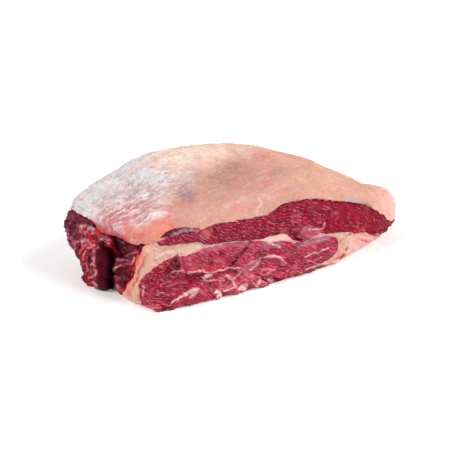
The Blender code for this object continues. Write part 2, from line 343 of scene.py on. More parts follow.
# %% The grain
GRAIN_SLOPE = [  # x, and the fibres' rise over run
    (-20, -0.5), (40, -0.6), (60, -1.1), (85, -1.1), (105, -0.45), (170, -0.42), (260, -0.58), (300, -1.0),
    (335, -1.7),
]


def grain_lines(front):
    """Place of each point along the fibres and across them, on the front."""
    x, slope = np.array(GRAIN_SLOPE).T
    fall = np.concatenate([[0], np.cumsum(np.diff(x) * (slope[1:] + slope[:-1]) / 2)])
    across = front[:, 1] - np.interp(front[:, 0], x, fall) + 1.6 * cloud(front, 14, 20)
    return np.stack([front[:, 0], across], axis=1)


def bent(places, slope):
    """Places turned so that the first runs along a slope and the second across it."""
    angle = math.atan(slope)
    c, s = math.cos(angle), math.sin(angle)
    return places @ np.array([[c, -s], [s, c]])


print("along and across the grain, 40 mm up the corner:", grain_lines(np.array([[0.0, 40.0]]))[0].round(1))

# %% [markdown]
# ## Forms on the front
# The lower lean bulges, the seam beside it is sunk, and the knife left pockets, ledges and loose strings.
# Each is an entry in the list. They could be modelled one by one with a sculpting brush, but as a list they
# can be moved by a millimetre without starting over.

# %% Forms on the front
FRONT_FORMS = [  # height in mm, brush, its size, its shape
    (1.7, patch, 2.4,
     [(22, 42), (33, 44), (40, 40), (50, 37), (62, 37), (66, 33), (78, 31), (96, 31), (110, 28), (125, 30),
      (135, 34), (150, 35), (160, 32), (168, 27), (177, 19), (196, 22), (243, 25), (243, 40), (200, 42),
      (150, 52), (90, 64), (36, 62), (34, 50)]),
    (-3.2, patch, 5, [(14, 42), (16, 50), (23, 59), (29, 62), (32, 55), (33, 47), (29, 41), (20, 38)]),
    (-4.5, patch, 6, [(42, 36), (54, 34), (64, 32), (67, 28), (60, 23), (48, 23), (42, 29)]),
    (-4.0, stroke, 2.2, [(100, 34), (106, 41), (113, 47), (121, 54), (128, 61)]),
    (-2.0, spot, (5, 6), (73, 43)),
    (-2.0, spot, (3.5, 4), (89, 52)),
    (-2.6, spot, (5, 3.5), (-5, 40)),
    (1.2, stroke, 1.2, [(32, 63), (34, 54), (34, 46), (37, 41)]),
    (-2.0, stroke, 3.0, [(11, 94), (16, 97), (21, 99), (28, 97)]),
    (0.8, patch, 6, [(15, 88), (22, 96), (38, 96), (52, 93), (58, 88), (28, 88)]),
    (-2.6, stroke, 1.8, [(68, 28), (80, 27), (96, 28), (108, 25)]),
    (2.0, stroke, 2.2, [(61, 26), (67, 28), (75, 28)]),
    (1.2, stroke, 1.0, [(63, 23), (72, 20), (80, 20)]),
    (2.4, patch, 4, [(22, 4), (30, 9), (42, 15), (50, 17), (57, 13), (52, 6), (40, 5)]),
    (2.0, patch, 3, [(76, 3), (80, 7), (86, 4), (87, -5), (80, -5)]),
    (1.6, stroke, 2.0, [(84, 20), (90, 23), (98, 22), (104, 15), (100, 6), (92, 4)]),
    (-2.0, spot, (2.5, 2.5), (100, 14)),
    (1.6, patch, 3, [(112, 24), (124, 18), (132, 23), (140, 32), (150, 34), (138, 35), (124, 31)]),
    (-2.4, stroke, 1.8, [(152, 44), (160, 38), (166, 33)]),
    (1.0, stroke, 0.9, [(203, 21), (215, 24), (221, 21), (236, 25)]),
    (-1.8, stroke, 1.6, [(202, 9), (225, 9), (240, 11), (249, 17)]),
    (1.6, stroke, 1.6, [(203, 3), (215, 6), (226, 7), (240, 4), (254, 3)]),
    (-2.6, stroke, 1.8, [(219, 2), (235, 0), (252, -1)]),
    (-4.5, stroke, 2.4, [(160, 3), (165, -1), (172, -4)]),
    (-3.0, stroke, 1.8, [(143, 7), (148, 1)]),
    (-2.6, stroke, 2.4, [(178, 59), (187, 55), (191, 48), (197, 44)]),
    (3.2, patch, 6, [(193, 50), (200, 61), (212, 59), (223, 54), (226, 48), (210, 44), (198, 43)]),
    (1.4, stroke, 1.1, [(209, 57), (217, 56), (223, 54), (229, 56), (230, 60)]),
    (-1.8, stroke, 1.6, [(196, 64), (212, 62), (232, 63)]),
    (-1.6, stroke, 1.5, [(60, 73), (67, 69), (80, 67)]),
    (-1.5, stroke, 1.3, [(77, 88), (80, 80), (82, 74)]),
    (-1.4, stroke, 1.3, [(134, 87), (137, 82)]),
    (-1.8, patch, 7,
     [(0, 57), (12, 61), (24, 65), (40, 65), (64, 69), (60, 74), (40, 76), (18, 77), (2, 80), (-8, 74)]),
    (1.6, patch, 8, [(262, 34), (275, 31), (298, 31), (306, 27), (294, 15), (268, 12), (258, 20)]),
    (-1.8, stroke, 1.6, [(246, 8), (256, 10), (262, 9)]),
    (-1.5, stroke, 1.4, [(262, 14), (264, 24), (262, 36)]),
    (-1.6, stroke, 1.4, [(268, 37), (280, 35), (300, 30), (318, 26)]),
    (-1.5, stroke, 1.2, [(278, 26), (290, 22), (300, 20)]),
    (-3.0, spot, (3, 4), (319, 22)),
    (2.0, stroke, 5, [(2, -3), (20, -4)]),
]


def front_relief(front):
    torn = ragged(front)
    low = (1 - eased(front[:, 1], 2, 12)) * eased(front[:, 0], 4, 20)
    total = 1.0 * cloud(front, 11, 21) + 0.8 * cloud(front, 4.5, 22)
    lines = grain_lines(front)
    total += 1.15 * cloud(lines, np.array([12, 2.4]), 23) + 0.55 * cloud(lines, np.array([6, 1.4]), 19)
    total += low * (1.1 * cloud(bent(front, -0.5), np.array([7, 3]), 24) + 0.5 * cloud(front, 2.6, 25))
    for height, brush, size, shape in FRONT_FORMS:
        total += height * brush(torn, size, shape)
    return total


print(len(FRONT_FORMS), "forms on the front")

# %% [markdown]
# ## Relief of the left end
# Here the joint was pulled from the leg along a natural seam, not cut, so it is deeply folded: a smooth dark
# lobe with a crease beside it, a hollow under the cap, ridged lean next to that, and rolled fat down the
# corner.

# %% Forms on the left end
END_FORMS = [
    (5.0, patch, 16, [(93, 1), (94, 30), (90, 52), (80, 61), (70, 58), (65, 44), (68, 22), (72, 3)]),
    (-9.0, stroke, 2.6, [(78, 64), (70, 62), (64, 56), (62, 48), (64, 36), (66, 22), (68, 6)]),
    (-2.4, stroke, 1.8, [(94, 60), (93, 45), (94, 25), (90, 8)]),
    (-8.0, patch, 7, [(44, 74), (60, 76), (62, 66), (58, 54), (48, 55), (43, 64)]),
    (2.6, patch, 5, [(60, 60), (63, 72), (78, 74), (84, 66), (74, 62)]),
    (2.2, stroke, 1.9, [(28, 57), (31, 52), (40, 47), (50, 44), (58, 38), (62, 32)]),
    (1.8, stroke, 1.7, [(35, 54), (46, 51), (58, 49)]),
    (-2.2, stroke, 1.4, [(32, 57), (44, 54), (60, 53)]),
    (-2.2, stroke, 1.5, [(34, 46), (44, 41), (54, 35), (60, 28)]),
    (2.4, patch, 10, [(38, 30), (50, 34), (60, 26), (60, 18), (46, 18)]),
    (-2.2, stroke, 1.6, [(60, 17), (48, 19), (41, 24)]),
    (3.4, spot, (5, 5), (51, 11)),
    (1.6, spot, (3, 3), (58, 13)),
    (2.2, patch, 10, [(134, 92), (95, 92), (88, 86), (96, 79), (136, 80)]),
    (-4.0, stroke, 2.0, [(88, 82), (95, 81)]),
    (-1.8, stroke, 1.5, [(97, 80), (115, 79), (136, 78)]),
    (1.8, stroke, 2.6, [(92, 76), (102, 78), (112, 74)]),
    (1.8, stroke, 2.2, [(96, 60), (104, 61), (110, 57)]),
    (-2.0, stroke, 1.7, [(122, 70), (108, 67), (96, 66)]),
    (1.8, stroke, 1.7, [(100, 58), (108, 50), (113, 40), (110, 28)]),
    (-1.6, stroke, 1.4, [(104, 58), (112, 52), (118, 42)]),
    (-2.0, stroke, 1.6, [(98, 48), (101, 36), (99, 24)]),
    (2.2, stroke, 1.8, [(91, 22), (93, 15), (90, 8)]),
    (4.5, patch, 8, [(97, 2), (98, 15), (107, 18), (114, 9), (108, 0)]),
    (-3.0, spot, (5, 4), (110, 14)),
    (3.0, stroke, 3.4, [(18, 70), (24, 50), (31, 30), (42, 12)]),
    (-1.8, stroke, 1.2, [(9, 70), (16, 52), (24, 34), (30, 22)]),
    (-2.4, stroke, 1.6, [(24, 66), (30, 48), (38, 30), (47, 16)]),
    (2.2, spot, (4, 7), (29, 10)),
    (-1.8, stroke, 1.2, [(22, 14), (24, 4)]),
    (-3.0, stroke, 1.8, [(24, 75), (40, 74), (52, 76), (64, 76)]),
]


def end_relief(end):
    torn = ragged(end)
    strands = eased(end[:, 0], 86, 93)
    ridged = (1 - eased(end[:, 0], 60, 66)) * eased(end[:, 0], 24, 32)
    rough = 1 - 0.8 * patch(end, 10, END_FORMS[0][3])
    total = 0.8 * cloud(end, 12, 31) + 0.5 * rough * cloud(end, 4, 32)
    total += strands * (1.7 * cloud(bent(end, -1.2), np.array([9, 3.2]), 33) + 0.9 * cloud(end, 2.6, 34))
    total += ridged * (1.9 * cloud(bent(end, -0.6), np.array([12, 4.5]), 35) + 0.8 * cloud(end, 2.8, 36))
    for height, brush, size, shape in END_FORMS:
        total += height * brush(torn, size, shape)
    return total


print(len(END_FORMS), "forms on the left end")

# %% [markdown]
# ## Pushing the lean into shape
# The hem of the fat cap is drawn here already, as one line on each map, because the lean sinks a little
# where the cap lies over it, or else it would poke through. Below the hem both reliefs are added along the
# surface's own normal, and they fade out towards the hidden faces. Then the joint settles as real meat does:
# the right tip sags, the outer feet curl off the table, and nothing is pushed below it. Displace modifiers
# could do this too, but plain arrays keep all the forms in one place.

# %% Push the relief into the lean
HEM_ON_FRONT = [
    (-12, 84), (-5, 84), (3, 87), (8, 90), (14, 95), (21, 98.5), (30, 98), (40, 97), (48, 94), (55, 91),
    (60, 89), (66, 90), (79, 92.5), (90, 92), (102, 90), (120, 89.5), (132, 90), (141, 89.5), (150, 89),
    (160, 90), (172, 92), (185, 94), (197, 94.5), (205, 93), (220, 91.5), (230, 90), (240, 86), (255, 83),
    (268, 80), (276, 77), (285, 73), (300, 63), (310, 56), (320, 47), (326, 40), (334, 35.5), (342, 31.5),
]
HEM_ON_END = [
    (0, 88), (8, 84), (20, 78), (30, 77), (40, 76), (50, 78), (60, 77), (70, 77), (80, 79), (86, 83),
    (92, 87), (100, 90), (112, 92), (128, 92), (140, 93),
]
SUNK = 1.5  # mm, how much deeper the lean lies under the cap
RIGHT_FOOT, LEFT_FOOT = 6, 4.5  # mm, how far the outer feet are lifted
FLANK = 5  # mm, how far the far side of the left end is drawn in
TIP_SHIFTS = [(7, (18, 19), (338, 33)), (-8, (16, 9), (328, 74)), (-7, (16, 6), (332, 5))]  # mm, and where


def over(places, line):
    """How far each place lies above a line drawn on its map."""
    return places[:, 1] - np.interp(places[:, 0], *np.array(line).T)


def nosed(points):
    """Points of the right tip filled out low down and drawn in above, as the tip sags."""
    points = points.copy()
    sides = points[:, ::2]
    points[:, 0] += sum(shift * spot(sides, radii, middle) for shift, radii, middle in TIP_SHIFTS)
    return points


def footed(points):
    """Points with the outer feet lifted, and nothing below the table."""
    points = points.copy()
    along_end, high = points @ END_RUN, points[:, 2]
    right_foot = RIGHT_FOOT * eased(points[:, 0], 245, 290) * (1 - eased(high, 10, 36))
    left_foot = LEFT_FOOT * (1 - eased(abs(along_end - 58), 8, 26)) * (1 - eased(high, 3, 16))
    points[:, 2] = np.maximum(high + right_foot + left_foot * (points[:, 0] < 0), 0)
    return points


def with_relief(obj):
    points, normals = points_of(obj), normals_of(obj)
    front, end = on_front(points), on_end(points)
    height = np.where(front[:, 0] > 0, front_relief(front), end_relief(end))
    facing = np.maximum(eased(normals @ FRONT_FACING, 0.1, 0.5), eased(normals @ END_FACING, 0.1, 0.5))
    over_hem = np.where(front[:, 0] > 0, over(front, HEM_ON_FRONT), over(end, HEM_ON_END))
    under_cap = eased(over_hem, 1, 6)
    height = height * (1 - under_cap) - SUNK * under_cap
    steep = 1 - eased(normals[:, 2], 0.6, 0.9)
    points = nosed(footed(points + normals * (height * facing * steep)[:, None]))
    flank = spot(np.stack([points @ END_RUN, points[:, 2]], axis=1), (18, 16), (128, 32))
    move_to(obj, points - FLANK * END_RUN * flank[:, None])
    return height


height = with_relief(lean)
lean_points, lean_faces = points_of(lean), [list(face.vertices) for face in lean.data.polygons]
print("relief from", height.min().round(1), "to", height.max().round(1), "mm")

# %% [markdown]
# ## Where one tissue ends
# Seams run into the joint at a slant, so each tissue is cut from the body with a tall slanted prism. A
# Boolean cut leaves no gap between neighbours and keeps every piece closed. The outlines are drawn on the
# two maps and carried onto the sculpted meat, so that they stay true to the relief.

# %% Seam outlines
SLANT = 0.2  # sideways drift of every seam per length of depth
UNDER_UPPER = [
    (3, 87), (8, 81), (20, 78), (45, 75.5), (58, 74), (66, 69), (74, 67), (100, 65), (128, 61.5), (150, 60),
    (170, 60), (177, 57), (185, 48), (197, 42.5), (208, 43.5), (215, 47), (223, 49), (231, 46), (250, 43.5),
    (268, 41), (274, 37), (290, 36), (296, 31), (306, 27), (314, 22), (322, 17), (330, 12), (345, 4),
]
ROUND_LOWER = [
    (-17, 14), (-19, 30), (-20, 37), (-18, 42), (-10, 50), (0, 55), (10, 59), (20, 62), (30, 66), (34, 61),
    (50, 62), (70, 65), (90, 65.5), (110, 62.5), (128, 60), (140, 57), (150, 53), (170, 50.5), (180, 47),
    (190, 43), (200, 41), (215, 43), (225, 44), (235, 43), (243, 40), (248, 37), (250, 32), (251, 25),
    (249, 18), (243, 12), (235, 9), (220, 6), (205, 4), (198, 0),
]
BESIDE_END = [  # on the left end's map
    (49, 8), (42, 20), (34, 35), (28, 50), (23, 62), (16, 76), (10, 84), (6, 92),
]


def carried_onto(meat, outline, run):
    """Map places carried onto the meat, then slid along the seams' slant to the corner's depth."""
    slid = []
    for along, high in outline:
        target = np.array(run) * along + np.array([0, 0, high])
        hit = meat.ray_cast(EYE.tolist(), (target - EYE).tolist())[0]
        place = target if hit is None else np.array(hit)
        slid.append((place[0] - SLANT * place[1], place[2]))
    return slid


lean_skin = BVHTree.FromPolygons(lean_points.tolist(), lean_faces)
upper_edge = carried_onto(lean_skin, UNDER_UPPER, (1, 0, 0))
lower_edge = carried_onto(lean_skin, ROUND_LOWER, (1, 0, 0))
end_edge = carried_onto(lean_skin, BESIDE_END, END_RUN)
OUTLINES = {
    "upper_muscle": upper_edge + [(390, 4), (390, 190), (3, 190)],
    "lower_muscle": lower_edge + [(190, -20), (-17, -20)],
    "end_muscle": [(-32, -20)] + end_edge + [(-4, 160), (-160, 160), (-160, -20)],
}
print("seams carried onto the meat")

# %% [markdown]
# ## The cut between tissues
# The prisms reach well past the joint on both sides. A Boolean with the Manifold solver is quick and exact
# on closed meshes this fine, where the older solvers could leave slivers. The three lean muscles are what
# lies inside their own prism, and the seam fat is what all three prisms leave over.

# %% Cut the tissues apart
NEAR, FAR = -60, 280  # mm, the prism's two ends in depth


def seam_prism(name, outline):
    ends = [[(x + SLANT * y, y, z) for x, z in outline] for y in (NEAR, FAR)]
    count = len(outline)
    faces = [list(range(count)), list(range(2 * count - 1, count - 1, -1))]
    faces += [[i, i + count, (i + 1) % count + count, (i + 1) % count] for i in range(count)]
    mesh = bpy.data.meshes.new(name)
    mesh.from_pydata(in_metres(ends[0] + ends[1]).tolist(), [], faces)
    shape = bmesh.new()
    shape.from_mesh(mesh)
    bmesh.ops.recalc_face_normals(shape, faces=shape.faces)
    bmesh.ops.triangulate(shape, faces=shape.faces)
    shape.to_mesh(mesh)
    shape.free()
    prism = bpy.data.objects.new(name, mesh)
    bpy.context.scene.collection.objects.link(prism)
    return prism


def cut_from(obj, name, steps):
    """A copy of obj cut by each (operation, prism) in turn."""
    piece = bpy.data.objects.new(name, obj.data.copy())
    bpy.context.scene.collection.objects.link(piece)
    for operation, prism in steps:
        knife = piece.modifiers.new("Knife", "BOOLEAN")
        knife.operation, knife.object, knife.solver = operation, prism, "MANIFOLD"
        settled(piece)
    return piece


prisms = {name: seam_prism(name + "_prism", outline) for name, outline in OUTLINES.items()}
pieces = {name: cut_from(lean, name + "_meat", [("INTERSECT", prism)]) for name, prism in prisms.items()}
pieces["seam_fat"] = cut_from(lean, "seam_fat_meat", [("DIFFERENCE", prism) for prism in prisms.values()])
for extra in [lean, *prisms.values()]:
    bpy.data.objects.remove(extra)
for name, piece in pieces.items():
    print(name, len(piece.data.vertices), "points")

# %% [markdown]
# ## The fat cap
# The cap is a blanket of fat some millimetres thick, with a skin of pale membrane over it. It keeps its own
# solid, so its hem stays a real edge that stands off the lean. It is melted the same way, then wrinkled on a
# plan map.

# %% Melt the cap
CAP_PITCH, CAP_ROUNDS = 2.7 * MM, 3
ROOF_ROUNDS = 13


def seen(middles, normals):
    """True for outer faces that look to the front or the left, where most creases are."""
    outer = (normals[:, 2] > 0.15) | (on_a_cut(middles, normals) & (middles[:, 2] > 25))
    return outer & (normals @ forward < 0.1)


def ironed(obj, shares, rounds):
    """Smooths an object, each point by its own share."""
    group = obj.vertex_groups.new(name="ironed")
    for index in np.flatnonzero(shares > 0.01).tolist():
        group.add([index], float(shares[index]), "REPLACE")
    smooth = obj.modifiers.new("Iron", "SMOOTH")
    smooth.factor, smooth.iterations, smooth.vertex_group = 0.5, rounds, "ironed"
    settled(obj)
    obj.vertex_groups.clear()


cap = melted("fat_cap_skin", ["fat_cap"], CAP_PITCH, CAP_ROUNDS)
ironed(cap, eased(normals_of(cap)[:, 2], 0.1, 0.5), ROOF_ROUNDS)
divided(cap, seen, 1)
print("cap:", len(cap.data.vertices), "points")

# %% [markdown]
# ## The hem of the cap
# The hem is ragged where the knife left it, and hugs the lean. First it is let down or taken up to the drawn
# line on each map, fading out over the 18 mm above. Then whatever stands off the lean near the hem is drawn
# in, so that the cap thins out to its edge. Only at the corner does it overhang a little. A Shrinkwrap
# modifier would pull the cap onto the lean too, but it can't keep it between a least and a greatest
# distance.

# %% Fit the hem
HEM_REACH = 18  # mm above the hem that move with it
NO_HEM = 999  # a height no hem has


def let_down(points, normals, places, facing, wanted):
    """Points with the hem moved to a wanted line on one map."""
    edge = (normals @ facing > 0.2) & (points[:, 2] > 12)
    along, high = places.T
    steps = np.arange(wanted[0][0], wanted[-1][0], 2.0)
    found = [high[edge & (abs(along - step) < 1.5)].min(initial=NO_HEM) for step in steps]
    kept = np.array(found) < NO_HEM
    evened = np.convolve(np.pad(np.array(found)[kept], 3, "edge"), np.ones(7) / 7, "valid")
    lowest = np.interp(along, steps[kept], evened)
    change = np.clip(np.interp(along, *np.array(wanted).T) - lowest, -12, 12)
    first, last = wanted[0][0], wanted[-1][0]
    inside = eased(along, first - 4, first + 2) * (1 - eased(along, last - 2, last + 4))
    near = (1 - eased(high - lowest, 3, HEM_REACH)) * inside * eased(normals @ facing, -0.3, 0.1)
    points = points.copy()
    points[:, 2] += change * near
    return points, np.where((normals @ facing > -0.1) & (points[:, 2] > 12), high - lowest, 99)


def kept_off_lean(points, chosen, least, most):
    """Points with the chosen ones moved so that each stands off the lean by a distance between two bounds."""
    points = points.copy()
    least, most = np.broadcast_to(least, len(points)), np.broadcast_to(most, len(points))
    for index in np.flatnonzero(chosen):
        near, facing, _, _ = lean_skin.find_nearest(points[index].tolist())
        near, facing = np.array(near), np.array(facing)
        off = (points[index] - near) @ facing
        points[index] += (np.clip(off, least[index], most[index]) - off) * facing
    return points


points, normals = nosed(points_of(cap)), normals_of(cap)
points, above_front = let_down(points, normals, on_front(points), FRONT_FACING, HEM_ON_FRONT)
points, above_end = let_down(points, normals, on_end(points), END_FACING, HEM_ON_END)
above = np.minimum(above_front, above_end)
overhang = (points[:, 0] > -22) & (points[:, 0] < 24) & (points[:, 1] < 14)
least = 0.35 + 0.1 * np.maximum(above, 0)
most = np.where(above < 12, 0.4 + 2.2 * overhang + 0.4 * np.maximum(above, 0), np.inf)
points = kept_off_lean(points, above < 22, least, most)
move_to(cap, points)
print("hem fitted;", (above < 12).sum(), "points near it")

# %% [markdown]
# ## Forms on the cap
# The cap has its own dents and swellings, kept as a list like those of the cut faces, but on a plan map.
# Among them are the thick clean edge at the corner, the sunk bruises, and the ridges and dents over the
# middle. The mound is the clean fat at the corner, where the membrane is gone.

# %% Forms on the cap
CAP_FORMS = [
    (2.0, patch, 12, [(-14, 6), (-6, 18), (12, 20), (26, 14), (24, 2), (8, 0)]),
    (1.8, stroke, 3.5, [(-14, 26), (4, 32), (18, 34), (28, 32)]),
    (-2.2, patch, 12, [(54, 42), (60, 60), (80, 64), (84, 50), (70, 40)]),
    (-2.0, patch, 12, [(0, 82), (8, 96), (32, 96), (38, 84), (20, 80)]),
    (-1.6, patch, 10, [(-20, 92), (-14, 102), (0, 104), (2, 94)]),
    (-1.4, patch, 12, [(106, 50), (108, 64), (134, 64), (130, 52)]),
    (-1.4, patch, 12, [(122, 66), (128, 86), (148, 84), (144, 66)]),
    (-1.8, stroke, 4.0, [(186, 56), (176, 44), (164, 30)]),
    (-1.6, spot, (8, 6), (192, 52)),
    (0.7, stroke, 3.5, [(100, 20), (128, 21), (146, 20), (160, 25)]),
    (-0.7, stroke, 3.5, [(104, 14), (128, 15), (148, 14)]),
    (1.4, stroke, 2.8, [(133, 2), (141, 6), (146, 12)]),
    (-1.0, stroke, 2.4, [(143, 1), (150, 8)]),
    (-1.2, stroke, 2.5, [(44, 38), (70, 40), (96, 42)]),
    (-1.4, patch, 14, [(258, 2), (266, 12), (288, 14), (292, 6), (276, -2)]),
    (-1.0, spot, (6, 4), (188, 18)),
    (3.0, patch, 20, [(-48, 128), (-20, 156), (12, 168), (4, 146), (-26, 120)]),
    (-1.2, patch, 24, [(300, 30), (296, 90), (350, 60), (366, 30), (330, 20)]),
]
MOUND = [  # clean fat, where the membrane is gone
    (-26, 34), (-14, 38), (-8, 27), (0, 19), (12, 18), (30, 14), (32, -4), (8, -10), (-10, -10), (-26, 20),
]
print(len(CAP_FORMS), "forms on the cap")

# %% [markdown]
# ## Creases of the membrane
# The membrane over the fat is drawn tight in some places and puckered in others, most of all towards the
# left. Two clouds stretched along the creases are added up: where the sum is low a crease runs, and where it
# is high the skin puffs up between creases. The steep sides are unrolled in plan first, so that no pattern
# stretches on them. A cloth simulation could pucker a skin too, but not where it is wanted.

# %% Creases
CREASE_SLOPE = 0.08  # of the membrane's creases, in plan
SPINE, SPINE_DEPTH = (20, 230), 65  # the roof's flat top: from x to x, at this y
ROOF_EDGE = 125  # height at which the roof starts to turn down


def unrolled(points):
    """Plan places, spread outwards from the roof's flat top by how far each lies below its edge."""
    plan = points[:, :2]
    outwards = plan - np.column_stack([np.clip(plan[:, 0], *SPINE), np.full(len(plan), SPINE_DEPTH)])
    outwards /= np.maximum(np.linalg.norm(outwards, axis=1), 20)[:, None]
    return plan + 0.8 * np.maximum(ROOF_EDGE - points[:, 2], 0)[:, None] * outwards


def creases(plan):
    """0 in the bottom of a crease and towards 1 on the puffed skin between creases."""
    lines = bent(ragged(plan, 4, 13), CREASE_SLOPE)
    broad, fine = cloud(lines, np.array([10, 4]), 57), cloud(lines, np.array([5, 2.2]), 58)
    return np.clip(0.5 + 0.5 * broad + 0.6 * fine, 0, 1)


def puckered(plan):
    """How puckered the membrane is, from 0 to 1."""
    left = 1 - eased(plan[:, 0] - 0.9 * plan[:, 1], -40, 30)
    left = left * (1 - np.clip(1.6 * patch(plan, 30, MOUND), 0, 1))
    strength = 0.8 - 0.45 * eased(plan[:, 1], 100, 150) + 0.45 * cloud(plan, 22, 59)
    return np.clip(0.06 + left * strength, 0, 1)


print("puckered at the left and at the right:", puckered(np.array([[-40.0, 90.0], [250.0, 60.0]])).round(2))

# %% [markdown]
# ## Wrinkles of the cap
# Broad swellings, the forms of the list, the puckers and a fine roughness are added up and pushed out along
# the surface's normal. The creases fade towards the hem, which gets a roughness of its own, and the skin is
# drawn in low down at the far left. The order matters: the hem was fitted first, on a smooth skin.

# %% Wrinkle the cap
TUCK = 6  # mm, how far the cap is drawn in low down at the far left


def cap_relief(points, skin):
    plan, spread_out = points[:, :2], unrolled(points)
    torn = ragged(plan, 2.5, 12)
    total = 1.0 * cloud(spread_out, 34, 51) + 0.6 * cloud(spread_out, 13, 52)
    puffed = puckered(plan) * 1.7 * (skin - 0.5)
    total += puffed + 0.25 * cloud(spread_out, 5, 53) + 0.3 * cloud(spread_out, 2.6, 54)
    for height, brush, size, shape in CAP_FORMS:
        total += height * brush(torn, size, shape)
    return total


points, normals = points_of(cap), normals_of(cap)
cap_skin = 0.5 + (creases(unrolled(points)) - 0.5) * (0.4 + 0.6 * eased(above, 4, 20))
outward = eased(normals[:, 2], -0.1, 0.3)
hem = 1 - eased(normals[:, 2], 0.1, 0.6)
push = cap_relief(points, cap_skin) * outward + 0.6 * cloud(on_front(points), np.array([7, 4]), 56) * hem
tucked = spot(points[:, :2], (16, 16), (-60, 122)) * (1 - eased(points[:, 2], 98, 112))
points = points + normals * push[:, None] - TUCK * END_FACING * tucked[:, None]
move_to(cap, points)
print("cap relief from", push.min().round(1), "to", push.max().round(1), "mm")

# %% [markdown]
# ## The rolled nose
# Over the tip at the right the fat is thin and drawn smooth. Wrinkles there would sink into the lean, so the
# nose is ironed, then set back out over the lean, and ironed lightly once more. Away from the tip the least
# distance falls off below zero, so that no step is left where the correction ends.

# %% Smooth the nose
nose = eased(points[:, 0], 296, 322) * (points[:, 2] < 60)
ironed(cap, nose, 9)
points = points_of(cap)
tip = spot(points[:, ::2], (24, 24), (338, 32))
near_lean = (above < 40) & (normals[:, 2] > -0.2)
least = np.where(near_lean, np.minimum(least, 1.2) + 0.5 * tip, 0.9 - 9 * (1 - eased(tip, 0.05, 0.7)))
move_to(cap, kept_off_lean(points, near_lean | (tip > 0.05), least, np.inf))
ironed(cap, nose, 2)
pieces["fat_cap"] = cap
print((near_lean | (tip > 0.05)).sum(), "points of the cap kept off the lean")

# %% [markdown]
# ## Colours of the tissues
# Fresh beef is a deep blue-red, darker where the surface has dried. Fat is cream where it is clean and pink
# where blood has run over it. Membranes are silver or lilac. Silver, lilac, pale and pink also serve as
# painted highlights and sheen on the wet surface, and the darkest reds as painted shade in creases, pockets
# and hollows. Each piece starts from clouds of its own colours, and then the same brushes as before lay the
# marks over them. The result is kept on the points, as an attribute named tint, because marks this
# particular follow the form and can't come from a repeating pattern.

# %% Palette
COLOURS = {name: np.array(value) for name, value in {
    "upper red": (0.26, 0.003, 0.024), "upper right red": (0.272, 0.002, 0.020),
    "upper left red": (0.27, 0.006, 0.032), "core red": (0.43, 0.025, 0.064),
    "core left red": (0.28, 0.005, 0.026), "deep red": (0.22, 0.006, 0.022), "dark": (0.07, 0.002, 0.008),
    "black red": (0.016, 0.0004, 0.0015), "bright red": (0.66, 0.012, 0.030),
    "pink meat and highlight": (0.62, 0.16, 0.19), "rose": (0.50, 0.10, 0.14), "cream": (0.64, 0.37, 0.285),
    "pale": (0.86, 0.52, 0.48), "white": (0.86, 0.74, 0.71), "pink fat": (0.80, 0.30, 0.27),
    "orange fat": (0.655, 0.195, 0.135), "strip": (0.78, 0.15, 0.10), "lilac and sheen": (0.50, 0.24, 0.32),
    "silver and sheen": (0.62, 0.42, 0.48), "purple": (0.13, 0.014, 0.034), "wine": (0.42, 0.06, 0.085),
    "blood": (0.50, 0.012, 0.028), "burgundy": (0.062, 0.0015, 0.007), "lobe red": (0.118, 0.0025, 0.013),
    "cap left": (0.63, 0.605, 0.62), "cap left pink": (0.71, 0.47, 0.485),
    "cap middle": (0.54, 0.285, 0.225), "cap right": (0.66, 0.335, 0.255), "thread": (0.72, 0.30, 0.35),
    # crease is laid on the cap as painted shade in its fine creases
    "cap crest": (0.84, 0.62, 0.51), "crease": (0.48, 0.20, 0.17), "cap gold": (0.74, 0.42, 0.29),
    "cap nose": (0.90, 0.52, 0.46), "blue grey": (0.44, 0.38, 0.40), "ink": (0.45, 0.45, 0.56),
    "violet": (0.30, 0.19, 0.215), "brown": (0.40, 0.22, 0.18), "stain": (0.30, 0.11, 0.12),
    "cap red": (0.66, 0.20, 0.17), "cap wine": (0.55, 0.10, 0.10),
}.items()}


def mixed(first, second, share):
    return first + np.asarray(share)[..., None] * (second - first)


def laid(tint, colour, share):
    """A tint with this share of a named colour over it."""
    return mixed(tint, COLOURS[colour], share)


def painted(tint, places, marks, wander, broken, mottled=0.0):
    """A tint with marks over it. Each is a colour, a strength, a brush, its size and its shape.
    Strokes are worn away here and there by the share `broken`, and broad marks by the share `mottled`."""
    torn = ragged(places, wander)
    wear = 1 - broken * eased(cloud(places, 3.4, 80) + 0.6 * cloud(places, 9, 81), -0.1, 0.7)
    mottling = 1 - mottled * eased(cloud(places, 5, 83) + 0.8 * cloud(places, 2.2, 84), -0.6, 0.8)
    for colour, strength, brush, size, shape in marks:
        share = strength * brush(torn, size, shape)
        tint = laid(tint, colour, np.clip(share * (wear if brush is stroke else mottling), 0, 1))
    return tint


print(len(COLOURS), "colours")
